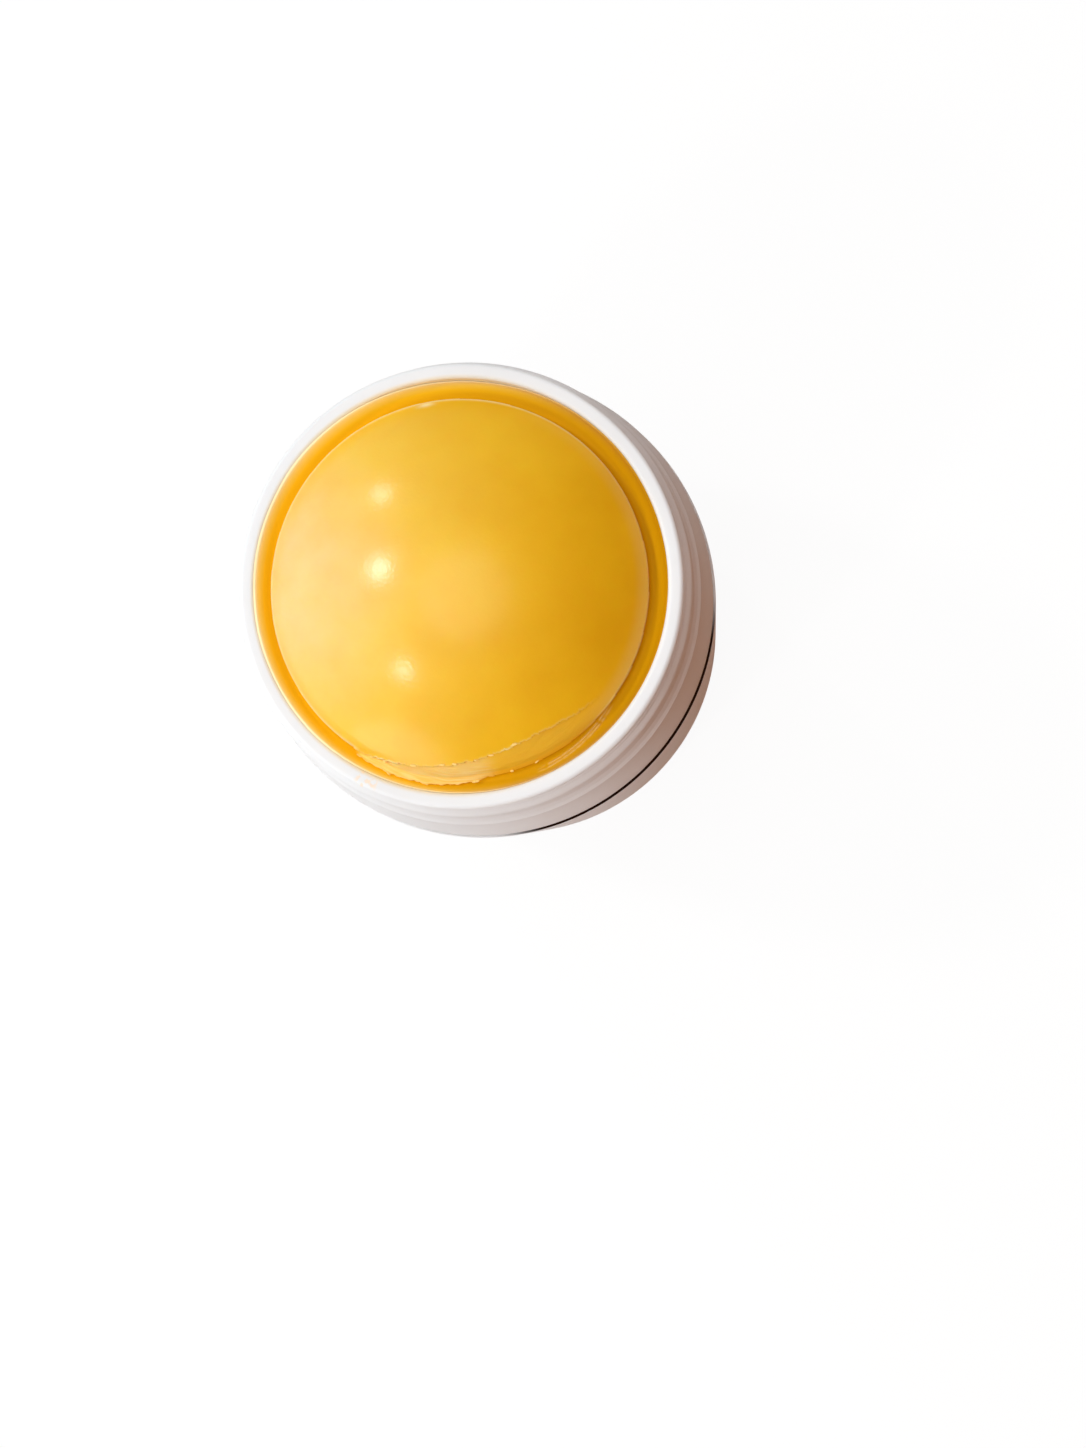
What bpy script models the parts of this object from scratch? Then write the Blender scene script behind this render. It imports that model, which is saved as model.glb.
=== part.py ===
# Twist-up lotion stick: a round white barrel full of domed balm, which a lead screw lifts when the
# knob in the base is turned. Metres, +Z up the stick's axis, origin at the middle of the base.
import math

import bmesh
import bpy
from mathutils import Matrix, Vector

MM = 0.001

# Driving dimensions
LIP_HEIGHT = 70.0 * MM
BORE_RADIUS = 22.4 * MM
BARREL_WALL = 1.7 * MM
ANNULUS_WIDTH = 1.8 * MM
SLEEVE_WALL = 1.6 * MM
THREAD_PITCH = 5.5 * MM
FIT_GAP = 0.3 * MM
OVERRUN = 1.0 * MM

# Collar: a hoop below the lip, a taper, a shoulder and a step, then a cone to the rim above the gap
LIP_INNER_ROUND = 0.5 * MM
LIP_OUTER_ROUND = 1.0 * MM
LIP_BAND = 1.6 * MM
HOOP_STAND = 0.2 * MM
HOOP_SLOPE = 0.35 * MM
TAPER_BAND = 4.0 * MM
TAPER_GROWTH = 0.7 * MM
SHOULDER_BAND = 3.3 * MM
SHOULDER_GROWTH = 0.5 * MM
STEP_STAND = 0.35 * MM
STEP_SLOPE = 0.35 * MM
COLLAR_HEIGHT = 20.0 * MM
COLLAR_RIM = 2.0 * MM
COLLAR_WALL = 1.6 * MM
RIM_INSET = 0.3 * MM
RIM_ROUND = 0.35 * MM
ROOF_WALL = 1.8 * MM
ROOF_WIDTH = 0.75 * MM
PARTING_GAP = 1.0 * MM

# Lower end of the barrel, which the knob snaps over
TAIL_RELIEF = 0.4 * MM
BEAD_STAND = 0.7 * MM
BEAD_HEIGHT = 1.2 * MM
BEAD_LIFT = 4.5 * MM
KEY_COUNT = 3
KEY_WIDTH = 2.4 * MM
KEY_HEIGHT = 5.0 * MM
KEYWAY_DEPTH = 0.9 * MM

# Outer sleeve
SPIGOT_WALL = 1.0 * MM
SPIGOT_ROOT = 1.5 * MM
LEDGE_THICKNESS = 1.5 * MM
SLEEVE_TOP_ROUND = 0.5 * MM
SLEEVE_FOOT_ROUND = 0.4 * MM
WASHER_THICKNESS = 0.8 * MM

# Turn knob and what closes it below
KNOB_HEIGHT = 9.2 * MM
KNOB_INSET = 0.5 * MM
KNOB_GAP = 0.4 * MM
KNOB_ROUND = 0.5 * MM
KNOB_FLOOR = 1.6 * MM
KNOB_RING_STAND = 6.9 * MM
RIM_WIDTH = 1.9 * MM
SEAT_LEDGE = 0.6 * MM
GRIP_RIBS = 36
RIB_STAND = 0.6 * MM
RIB_MARGIN = 0.9 * MM
RIB_ROOT_SHARE = 0.62
RIB_CREST_SHARE = 0.30
HUB_RADIUS = 8.0 * MM
HUB_HEIGHT = 3.8 * MM
DISC_RECESS = 0.4 * MM
DISC_THICKNESS = 0.8 * MM
DISC_ROUND = 0.2 * MM

# Spindle and its clip
SPINDLE_CORE = 3.2 * MM
THREAD_DEPTH = 1.6 * MM
THREAD_ROOT_WIDTH = 2.2 * MM
THREAD_CREST_WIDTH = 1.4 * MM
THREAD_OVERLAP = 0.5 * MM
SHANK_RADIUS = 4.2 * MM
SHANK_END = 0.6 * MM
SHANK_END_RADIUS = 3.5 * MM
CLIP_GROOVE_RADIUS = 2.7 * MM
CLIP_THICKNESS = 0.8 * MM
CLIP_RADIUS = 7.0 * MM
CLIP_SLOT = 3.6 * MM
FOOT_RADIUS = 6.0 * MM
FOOT_THICKNESS = 1.2 * MM
TIP_ROUND = 0.6 * MM

# Elevator: the keyed cup that carries the balm
BOSS_RADIUS = 7.2 * MM
BOSS_HEIGHT = 10.0 * MM
PLATFORM_LIFT = 4.2 * MM
PLATFORM_THICKNESS = 2.0 * MM
SKIRT_LIFT = 0.7 * MM
SKIRT_HEIGHT = 9.0 * MM
SKIRT_WALL = 2.1 * MM
SKIRT_CLEARANCE = 0.5 * MM
TOP_MARGIN = 5.6 * MM
PORT_COUNT = 6
PORT_RADIUS = 3.0 * MM
WIPER_HEIGHT = 1.6 * MM
WIPER_DROP = 1.0 * MM
WIPER_DEPTH = 1.0 * MM
WIPER_NOTCH = 0.3 * MM

# Balm: a column with a dome that stands in a gutter
GUTTER_WIDTH = 1.95 * MM
DOME_EDGE_DEPTH = 0.9 * MM
DOME_RISE = 8.5 * MM
DOME_EDGE_BEVEL = 0.35 * MM
GUTTER_DEPTH = 2.8 * MM
GUTTER_ROUND = 0.45 * MM
FILM_TOP_DEPTH = 0.6 * MM
FILM_WALL = 0.15 * MM

# Facets
OUTER_SEGMENTS = 48
INNER_SEGMENTS = 32
SMALL_SEGMENTS = 14
PORT_SEGMENTS = 12
ARC_STEPS = 2
DOME_STEPS = 8
FILM_STEPS = 4
MERGE_DISTANCE = 0.01 * MM
SHARP_ANGLE = math.radians(32.0)
FILLET_EDGE_SHARE = 0.45

# Radii from the middle outwards
TUBE_RADIUS = BORE_RADIUS + BARREL_WALL
TAIL_RADIUS = TUBE_RADIUS - TAIL_RELIEF
SLEEVE_BORE = TUBE_RADIUS + ANNULUS_WIDTH
COLLAR_RADIUS = SLEEVE_BORE + SLEEVE_WALL
RING_BORE = TAIL_RADIUS + FIT_GAP
RING_RADIUS = SLEEVE_BORE - FIT_GAP
KNOB_CREST = COLLAR_RADIUS - KNOB_INSET
KNOB_RADIUS = KNOB_CREST - RIB_STAND
DISC_SEAT = KNOB_RADIUS - RIM_WIDTH
THREAD_CREST = SPINDLE_CORE + THREAD_DEPTH
SKIRT_RADIUS = BORE_RADIUS - SKIRT_CLEARANCE
SKIRT_BORE = SKIRT_RADIUS - SKIRT_WALL
PORT_CIRCLE = (BOSS_RADIUS + SKIRT_BORE) / 2.0
BALM_RADIUS = BORE_RADIUS - FIT_GAP
DOME_RADIUS = BORE_RADIUS - GUTTER_WIDTH

# Heights from the base up
DISC_TOP = DISC_RECESS + DISC_THICKNESS
SHANK_BOTTOM = DISC_TOP + FIT_GAP
CLIP_BOTTOM = SHANK_BOTTOM + SHANK_END + FIT_GAP
FLOOR_BOTTOM = CLIP_BOTTOM + CLIP_THICKNESS + FIT_GAP
FLOOR_TOP = FLOOR_BOTTOM + KNOB_FLOOR
HUB_TOP = FLOOR_TOP + HUB_HEIGHT
FOOT_BOTTOM = HUB_TOP + FIT_GAP
FOOT_TOP = FOOT_BOTTOM + FOOT_THICKNESS
BOSS_BOTTOM = FOOT_TOP + FIT_GAP
BOSS_TOP = BOSS_BOTTOM + BOSS_HEIGHT
PLATFORM_BOTTOM = BOSS_BOTTOM + PLATFORM_LIFT
PLATFORM_TOP = PLATFORM_BOTTOM + PLATFORM_THICKNESS
SKIRT_BOTTOM = BOSS_BOTTOM + SKIRT_LIFT
SKIRT_TOP = SKIRT_BOTTOM + SKIRT_HEIGHT
TRAVEL = LIP_HEIGHT - TOP_MARGIN - SKIRT_TOP
SPINDLE_TOP = BOSS_BOTTOM + TRAVEL + BOSS_HEIGHT - OVERRUN
TAIL_BOTTOM = FLOOR_TOP + FIT_GAP
BEAD_MIDDLE = FLOOR_TOP + BEAD_LIFT
RING_TOP = KNOB_HEIGHT + KNOB_RING_STAND
WASHER_BOTTOM = RING_TOP + FIT_GAP
LEDGE_BOTTOM = WASHER_BOTTOM + WASHER_THICKNESS + FIT_GAP
SLEEVE_BOTTOM = KNOB_HEIGHT + KNOB_GAP
RIM_BOTTOM = LIP_HEIGHT - COLLAR_HEIGHT
SLEEVE_TOP = RIM_BOTTOM - PARTING_GAP
SPIGOT_TOP = SLEEVE_TOP + PARTING_GAP + COLLAR_RIM


def clear_scene():
    for item in list(bpy.data.objects):
        bpy.data.objects.remove(item, do_unlink=True)


def new_collection(name, wire):
    group = bpy.data.collections.new(name)
    bpy.context.scene.collection.children.link(group)
    group.hide_render = wire
    return group


def plastic(name, colour, roughness, coat):
    material = bpy.data.materials.new(name)
    material.use_nodes = True
    shader = material.node_tree.nodes["Principled BSDF"]
    shader.inputs["Base Color"].default_value = (*colour, 1.0)
    shader.inputs["Roughness"].default_value = roughness
    shader.inputs["Metallic"].default_value = 0.0
    shader.inputs["Coat Weight"].default_value = coat
    material.diffuse_color = (*colour, 1.0)
    return material


# Outlines: lists of corners (radius, height, fillet) that run down the outer side
def fillet(before, corner, after, radius, steps):
    """Points of the arc that rounds a corner, limited by the edges beside it."""
    back = before - corner
    ahead = after - corner
    limit = FILLET_EDGE_SHARE * min(back.length, ahead.length)
    half = back.angle(ahead) / 2.0
    reach = min(radius / math.tan(half), limit)
    centre = corner + (back.normalized() + ahead.normalized()).normalized() * reach / math.cos(half)
    start = corner + back.normalized() * reach - centre
    finish = corner + ahead.normalized() * reach - centre
    turn = start.angle_signed(finish)
    points = []
    for step in range(steps + 1):
        angle = -turn * step / steps
        points.append(centre + Matrix.Rotation(angle, 2) @ start)
    return points


def outline(corners, closed):
    spots = [Vector((corner[0], corner[1])) for corner in corners]
    count = len(spots)
    points = []
    for index, corner in enumerate(corners):
        radius = corner[2] if len(corner) > 2 else 0.0
        at_end = not closed and index in (0, count - 1)
        if radius <= 0.0 or at_end:
            points.append(spots[index])
            continue
        before = spots[index - 1]
        after = spots[(index + 1) % count]
        points.extend(fillet(before, spots[index], after, radius, ARC_STEPS))
    return points


def add_object(name, mesh, group):
    item = bpy.data.objects.new(name, mesh)
    group.objects.link(item)
    return item


def profile_mesh(name, points, closed):
    shape = bmesh.new()
    corners = [shape.verts.new((point.x, 0.0, point.y)) for point in points]
    for first, second in zip(corners, corners[1:]):
        shape.edges.new((first, second))
    if closed:
        shape.edges.new((corners[-1], corners[0]))
    mesh = bpy.data.meshes.new(name)
    shape.to_mesh(mesh)
    shape.free()
    return mesh


def turned(name, corners, group, segments, closed=False):
    """A turned piece: its outline spun once round the stick's axis."""
    mesh = profile_mesh(name, outline(corners, closed), closed)
    item = add_object(name, mesh, group)
    spin = item.modifiers.new("Turn", "SCREW")
    spin.axis = "Z"
    spin.steps = segments
    spin.render_steps = segments
    spin.use_merge_vertices = True
    spin.merge_threshold = MERGE_DISTANCE
    spin.use_smooth_shade = True
    return item


def cylinder(name, radius, low, high, group, segments, place=(0.0, 0.0)):
    """An upright cylinder, or a prism when it has few segments."""
    shape = bmesh.new()
    bmesh.ops.create_cone(
        shape, cap_ends=True, segments=segments, radius1=radius, radius2=radius, depth=high - low,
        matrix=Matrix.Translation((place[0], place[1], (low + high) / 2.0)),
    )
    mesh = bpy.data.meshes.new(name)
    shape.to_mesh(mesh)
    shape.free()
    return add_object(name, mesh, group)


def radial_block(name, near, far, width, low, high, angle, group):
    """A block that reaches from one radius to another at the given angle round the axis."""
    shape = bmesh.new()
    size = Matrix.Diagonal((far - near, width, high - low, 1.0))
    place = Matrix.Translation(((near + far) / 2.0, 0.0, (low + high) / 2.0))
    bmesh.ops.create_cube(shape, size=1.0, matrix=Matrix.Rotation(angle, 4, "Z") @ place @ size)
    mesh = bpy.data.meshes.new(name)
    shape.to_mesh(mesh)
    shape.free()
    return add_object(name, mesh, group)


def evaluated_mesh(item):
    graph = bpy.context.evaluated_depsgraph_get()
    graph.update()
    return bpy.data.meshes.new_from_object(item.evaluated_get(graph))


def helical_ridge(name, core, crest, root_width, crest_width, low, high, group):
    """The lead screw's ridge: a trapezium carried round the axis while it climbs, closed at its ends."""
    half_root = root_width / 2.0
    half_crest = crest_width / 2.0
    section = [Vector((core, half_root)), Vector((crest, half_crest))]
    section += [Vector((crest, -half_crest)), Vector((core, -half_root))]
    for point in section:
        point.y += low
    turns = (high - low) / THREAD_PITCH
    item = add_object(name, profile_mesh(name, section, True), group)
    spin = item.modifiers.new("Climb", "SCREW")
    spin.axis = "Z"
    spin.angle = 2.0 * math.pi * turns
    spin.screw_offset = high - low
    spin.steps = round(SMALL_SEGMENTS * turns)
    spin.render_steps = spin.steps
    mesh = evaluated_mesh(item)
    shape = bmesh.new()
    shape.from_mesh(mesh)
    ends = [edge for edge in shape.edges if edge.is_boundary]
    bmesh.ops.holes_fill(shape, edges=ends, sides=len(section))
    bmesh.ops.recalc_face_normals(shape, faces=shape.faces)
    shape.to_mesh(mesh)
    shape.free()
    item.modifiers.clear()
    item.data = mesh
    return item


def combine(item, other, operation):
    """Cut the other solid from the piece, or weld it on, and keep it hidden as a guide."""
    boolean = item.modifiers.new(operation.title() + " " + other.name, "BOOLEAN")
    boolean.operation = operation
    boolean.solver = "EXACT"
    boolean.object = other
    other.hide_render = True
    other.display_type = "WIRE"


def finish(item, material):
    """Settle the piece's modifiers, shade it smooth and give it its material."""
    mesh = evaluated_mesh(item)
    item.modifiers.clear()
    item.data = mesh
    mesh.name = item.name
    mesh.shade_smooth()
    mesh.set_sharp_from_angle(angle=SHARP_ANGLE)
    mesh.materials.clear()
    mesh.materials.append(material)
    return item


def turn_angles(count):
    return [2.0 * math.pi * index / count for index in range(count)]


def make_barrel(parts, cutters, material):
    hoop = TUBE_RADIUS + HOOP_STAND
    taper = hoop + TAPER_GROWTH
    shoulder = taper + SHOULDER_GROWTH
    lip_bottom = LIP_HEIGHT - LIP_BAND
    hoop_top = lip_bottom - HOOP_SLOPE
    taper_bottom = hoop_top - TAPER_BAND
    shoulder_bottom = taper_bottom - SHOULDER_BAND
    cone_top = shoulder_bottom - STEP_SLOPE
    rim_radius = COLLAR_RADIUS - RIM_INSET
    rim_top = RIM_BOTTOM + COLLAR_RIM
    skirt_bore = COLLAR_RADIUS - COLLAR_WALL
    roof = cone_top - ROOF_WALL
    bead_crest = TAIL_RADIUS + BEAD_STAND
    corners = [
        (BORE_RADIUS, LIP_HEIGHT, LIP_INNER_ROUND),
        (TUBE_RADIUS, LIP_HEIGHT, LIP_OUTER_ROUND),
        (TUBE_RADIUS, lip_bottom),
        (hoop, hoop_top),
        (taper, taper_bottom),
        (shoulder, shoulder_bottom),
        (shoulder + STEP_STAND, cone_top),
        (rim_radius, rim_top, COLLAR_RADIUS),
        (rim_radius, RIM_BOTTOM, RIM_ROUND),
        (skirt_bore, RIM_BOTTOM),
        (skirt_bore, rim_top),
        (TUBE_RADIUS + ROOF_WIDTH, roof),
        (TUBE_RADIUS, roof),
        (TUBE_RADIUS, WASHER_BOTTOM),
        (TAIL_RADIUS, WASHER_BOTTOM),
        (TAIL_RADIUS, BEAD_MIDDLE + BEAD_HEIGHT / 2.0),
        (bead_crest, BEAD_MIDDLE + BEAD_HEIGHT / 4.0),
        (bead_crest, BEAD_MIDDLE),
        (TAIL_RADIUS, BEAD_MIDDLE - BEAD_HEIGHT / 2.0),
        (TAIL_RADIUS, TAIL_BOTTOM),
        (BORE_RADIUS, TAIL_BOTTOM),
    ]
    barrel = turned("barrel", corners, parts, OUTER_SEGMENTS, closed=True)
    keyway_top = SKIRT_BOTTOM + KEY_HEIGHT + TRAVEL + FIT_GAP
    for index, angle in enumerate(turn_angles(KEY_COUNT)):
        keyway = radial_block(
            f"keyway_{index}", BORE_RADIUS - OVERRUN, BORE_RADIUS + KEYWAY_DEPTH,
            KEY_WIDTH + 2.0 * FIT_GAP, TAIL_BOTTOM - OVERRUN, keyway_top, angle, cutters,
        )
        combine(barrel, keyway, "DIFFERENCE")
    return finish(barrel, material)


def make_outer_sleeve(parts, material):
    spigot_radius = COLLAR_RADIUS - COLLAR_WALL - FIT_GAP
    spigot_bore = spigot_radius - SPIGOT_WALL
    ledge_bore = TUBE_RADIUS + FIT_GAP
    ledge_top = LEDGE_BOTTOM + LEDGE_THICKNESS
    corners = [
        (spigot_bore, SPIGOT_TOP),
        (spigot_radius, SPIGOT_TOP),
        (spigot_radius, SLEEVE_TOP),
        (COLLAR_RADIUS, SLEEVE_TOP, SLEEVE_TOP_ROUND),
        (COLLAR_RADIUS, SLEEVE_BOTTOM, SLEEVE_FOOT_ROUND),
        (SLEEVE_BORE, SLEEVE_BOTTOM),
        (SLEEVE_BORE, LEDGE_BOTTOM),
        (ledge_bore, LEDGE_BOTTOM),
        (ledge_bore, ledge_top),
        (SLEEVE_BORE, ledge_top),
        (SLEEVE_BORE, SLEEVE_TOP - SPIGOT_ROOT),
        (spigot_bore, SLEEVE_TOP - SPIGOT_ROOT),
    ]
    return finish(turned("outer_sleeve", corners, parts, OUTER_SEGMENTS, closed=True), material)


def make_friction_washer(parts, material):
    inner = TUBE_RADIUS + FIT_GAP
    corners = [
        (inner, WASHER_BOTTOM + WASHER_THICKNESS),
        (RING_RADIUS, WASHER_BOTTOM + WASHER_THICKNESS),
        (RING_RADIUS, WASHER_BOTTOM),
        (inner, WASHER_BOTTOM),
    ]
    return finish(turned("friction_washer", corners, parts, INNER_SEGMENTS, closed=True), material)


def grip_band(group):
    """The knob's ribs as one fluted disc, whose valleys lie just under the knob's surface."""
    shape = bmesh.new()
    bmesh.ops.create_circle(shape, cap_ends=True, segments=GRIP_RIBS * 4, radius=KNOB_RADIUS)
    rib_angle = 2.0 * math.pi / GRIP_RIBS
    valley = KNOB_RADIUS - RIB_STAND
    offsets = (-RIB_ROOT_SHARE, -RIB_CREST_SHARE, RIB_CREST_SHARE, RIB_ROOT_SHARE)
    radii = (valley, KNOB_CREST, KNOB_CREST, valley)
    ring = sorted(shape.verts, key=lambda vert: math.atan2(vert.co.y, vert.co.x) % (2.0 * math.pi))
    for index, vert in enumerate(ring):
        rib, place = divmod(index, 4)
        angle = (rib + 0.5 + offsets[place] / 2.0) * rib_angle
        vert.co = (radii[place] * math.cos(angle), radii[place] * math.sin(angle), RIB_MARGIN)
    rise = KNOB_HEIGHT - 2.0 * RIB_MARGIN
    raised = bmesh.ops.extrude_face_region(shape, geom=shape.faces[:])
    lifted = [item for item in raised["geom"] if isinstance(item, bmesh.types.BMVert)]
    bmesh.ops.translate(shape, verts=lifted, vec=(0.0, 0.0, rise))
    bmesh.ops.recalc_face_normals(shape, faces=shape.faces)
    mesh = bpy.data.meshes.new("grip_band")
    shape.to_mesh(mesh)
    shape.free()
    return add_object("grip_band", mesh, group)


def make_turn_knob(parts, cutters, material):
    groove = TAIL_RADIUS + BEAD_STAND + FIT_GAP
    groove_half = BEAD_HEIGHT / 2.0 + FIT_GAP
    seat_top = DISC_TOP + FIT_GAP
    corners = [
        (0.0, HUB_TOP),
        (HUB_RADIUS, HUB_TOP, KNOB_ROUND),
        (HUB_RADIUS, FLOOR_TOP),
        (RING_BORE, FLOOR_TOP),
        (RING_BORE, BEAD_MIDDLE - groove_half),
        (groove, BEAD_MIDDLE - groove_half / 2.0),
        (groove, BEAD_MIDDLE + groove_half),
        (RING_BORE, BEAD_MIDDLE + groove_half),
        (RING_BORE, RING_TOP),
        (RING_RADIUS, RING_TOP),
        (RING_RADIUS, KNOB_HEIGHT),
        (KNOB_RADIUS, KNOB_HEIGHT, KNOB_ROUND),
        (KNOB_RADIUS, 0.0, KNOB_ROUND),
        (DISC_SEAT, 0.0),
        (DISC_SEAT, seat_top),
        (DISC_SEAT - SEAT_LEDGE, seat_top),
        (DISC_SEAT - SEAT_LEDGE, FLOOR_BOTTOM),
        (0.0, FLOOR_BOTTOM),
    ]
    knob = turned("turn_knob", corners, parts, OUTER_SEGMENTS)
    ribs = grip_band(cutters)
    core = cylinder("grip_core", KNOB_RADIUS - RIM_WIDTH / 2.0, 0.0, KNOB_HEIGHT, cutters, OUTER_SEGMENTS)
    combine(ribs, core, "DIFFERENCE")
    combine(knob, ribs, "UNION")
    socket = cylinder(
        "shank_socket", SHANK_RADIUS + FIT_GAP, FLOOR_BOTTOM - OVERRUN, HUB_TOP + OVERRUN, cutters, 6,
    )
    combine(knob, socket, "DIFFERENCE")
    return finish(knob, material)


def make_base_disc(parts, material):
    radius = DISC_SEAT - FIT_GAP
    corners = [
        (0.0, DISC_TOP),
        (radius, DISC_TOP),
        (radius, DISC_RECESS, DISC_ROUND),
        (0.0, DISC_RECESS),
    ]
    return finish(turned("base_disc", corners, parts, OUTER_SEGMENTS), material)


def make_spindle(parts, cutters, material):
    groove_bottom = SHANK_BOTTOM + SHANK_END
    groove_top = FLOOR_BOTTOM
    corners = [
        (0.0, SPINDLE_TOP),
        (SPINDLE_CORE, SPINDLE_TOP, TIP_ROUND),
        (SPINDLE_CORE, FOOT_TOP),
        (FOOT_RADIUS, FOOT_TOP),
        (FOOT_RADIUS, FOOT_BOTTOM),
        (CLIP_GROOVE_RADIUS, FOOT_BOTTOM),
        (CLIP_GROOVE_RADIUS, groove_bottom),
        (SHANK_END_RADIUS, groove_bottom),
        (SHANK_END_RADIUS, SHANK_BOTTOM),
        (0.0, SHANK_BOTTOM),
    ]
    spindle = turned("spindle", corners, parts, SMALL_SEGMENTS)
    shank = cylinder("shank", SHANK_RADIUS, groove_top, FOOT_TOP - FOOT_THICKNESS / 2.0, cutters, 6)
    combine(spindle, shank, "UNION")
    ridge = helical_ridge(
        "thread", SPINDLE_CORE - THREAD_OVERLAP, THREAD_CREST, THREAD_ROOT_WIDTH, THREAD_CREST_WIDTH,
        FOOT_TOP + THREAD_ROOT_WIDTH / 2.0 + FIT_GAP, SPINDLE_TOP - THREAD_ROOT_WIDTH, cutters,
    )
    combine(spindle, ridge, "UNION")
    return finish(spindle, material)


def make_spindle_clip(parts, cutters, material):
    inner = CLIP_GROOVE_RADIUS + FIT_GAP
    corners = [
        (inner, CLIP_BOTTOM + CLIP_THICKNESS),
        (CLIP_RADIUS, CLIP_BOTTOM + CLIP_THICKNESS),
        (CLIP_RADIUS, CLIP_BOTTOM),
        (inner, CLIP_BOTTOM),
    ]
    clip = turned("spindle_clip", corners, parts, SMALL_SEGMENTS, closed=True)
    slot = radial_block(
        "clip_slot", 0.0, CLIP_RADIUS + OVERRUN, CLIP_SLOT, CLIP_BOTTOM - OVERRUN,
        CLIP_BOTTOM + CLIP_THICKNESS + OVERRUN, 0.0, cutters,
    )
    combine(clip, slot, "DIFFERENCE")
    return finish(clip, material)


def make_elevator(parts, cutters, material):
    wiper_top = SKIRT_TOP - WIPER_DROP
    wiper_bottom = wiper_top - WIPER_HEIGHT - 2.0 * FIT_GAP
    corners = [
        (0.0, BOSS_TOP),
        (BOSS_RADIUS, BOSS_TOP),
        (BOSS_RADIUS, PLATFORM_TOP),
        (SKIRT_BORE, PLATFORM_TOP),
        (SKIRT_BORE, SKIRT_TOP),
        (SKIRT_RADIUS, SKIRT_TOP),
        (SKIRT_RADIUS, wiper_top),
        (SKIRT_RADIUS - WIPER_DEPTH, wiper_top),
        (SKIRT_RADIUS - WIPER_DEPTH, wiper_bottom),
        (SKIRT_RADIUS, wiper_bottom),
        (SKIRT_RADIUS, SKIRT_BOTTOM),
        (SKIRT_BORE, SKIRT_BOTTOM),
        (SKIRT_BORE, PLATFORM_BOTTOM),
        (BOSS_RADIUS, PLATFORM_BOTTOM),
        (BOSS_RADIUS, BOSS_BOTTOM),
        (0.0, BOSS_BOTTOM),
    ]
    elevator = turned("elevator", corners, parts, INNER_SEGMENTS)
    key_radius = BORE_RADIUS + KEYWAY_DEPTH - FIT_GAP
    for index, angle in enumerate(turn_angles(KEY_COUNT)):
        key = radial_block(
            f"key_{index}", SKIRT_RADIUS - SKIRT_WALL / 2.0, key_radius, KEY_WIDTH, SKIRT_BOTTOM + FIT_GAP,
            SKIRT_BOTTOM + KEY_HEIGHT, angle, cutters,
        )
        combine(elevator, key, "UNION")
    for index, angle in enumerate(turn_angles(PORT_COUNT)):
        place = (PORT_CIRCLE * math.cos(angle), PORT_CIRCLE * math.sin(angle))
        port = cylinder(
            f"port_{index}", PORT_RADIUS, PLATFORM_BOTTOM - OVERRUN, PLATFORM_TOP + OVERRUN, cutters,
            PORT_SEGMENTS, place,
        )
        combine(elevator, port, "DIFFERENCE")
    bore = cylinder(
        "nut_bore", SPINDLE_CORE + FIT_GAP, BOSS_BOTTOM - OVERRUN, BOSS_TOP + OVERRUN, cutters, SMALL_SEGMENTS,
    )
    combine(elevator, bore, "DIFFERENCE")
    start = FOOT_TOP + THREAD_ROOT_WIDTH / 2.0 + FIT_GAP - THREAD_PITCH
    finish_height = BOSS_TOP + THREAD_PITCH
    groove = helical_ridge(
        "nut_thread", SPINDLE_CORE - THREAD_OVERLAP, THREAD_CREST + FIT_GAP, THREAD_ROOT_WIDTH + 2.0 * FIT_GAP,
        THREAD_CREST_WIDTH + 2.0 * FIT_GAP, start, finish_height, cutters,
    )
    combine(elevator, groove, "DIFFERENCE")
    return finish(elevator, material)


def make_wiper_ring(parts, material):
    top = SKIRT_TOP - WIPER_DROP - FIT_GAP
    bottom = top - WIPER_HEIGHT
    inner = SKIRT_RADIUS - WIPER_DEPTH + FIT_GAP
    middle = (top + bottom) / 2.0
    corners = [
        (inner, top),
        (BALM_RADIUS - WIPER_NOTCH, top),
        (BALM_RADIUS, top - WIPER_NOTCH),
        (BALM_RADIUS - WIPER_NOTCH, middle),
        (BALM_RADIUS, bottom + WIPER_NOTCH),
        (BALM_RADIUS - WIPER_NOTCH, bottom),
        (inner, bottom),
    ]
    return finish(turned("wiper_ring", corners, parts, INNER_SEGMENTS, closed=True), material)


def dome_points():
    """Corners from the dome's top to its crisp edge, on a sphere through both."""
    edge = LIP_HEIGHT - DOME_EDGE_DEPTH
    sphere = (DOME_RADIUS ** 2 + DOME_RISE ** 2) / (2.0 * DOME_RISE)
    centre = edge + DOME_RISE - sphere
    widest = math.asin(min(1.0, (DOME_RADIUS - DOME_EDGE_BEVEL) / sphere))
    points = [(0.0, edge + DOME_RISE)]
    for step in range(1, DOME_STEPS + 1):
        angle = widest * step / DOME_STEPS
        points.append((sphere * math.sin(angle), centre + sphere * math.cos(angle)))
    points.append((DOME_RADIUS, points[-1][1] - DOME_EDGE_BEVEL))
    return points


def film_points():
    """The balm that climbs the bore: a hollow curve from the gutter's floor to a thin top edge."""
    foot_radius = DOME_RADIUS + GUTTER_ROUND
    foot_height = LIP_HEIGHT - GUTTER_DEPTH
    top_radius = BALM_RADIUS - FILM_WALL
    top_height = LIP_HEIGHT - FILM_TOP_DEPTH
    points = []
    for step in range(FILM_STEPS + 1):
        angle = math.pi / 2.0 * step / FILM_STEPS
        radius = foot_radius + (top_radius - foot_radius) * math.sin(angle)
        height = foot_height + (top_height - foot_height) * (1.0 - math.cos(angle))
        points.append((radius, height))
    points.append((BALM_RADIUS, top_height))
    return points


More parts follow.
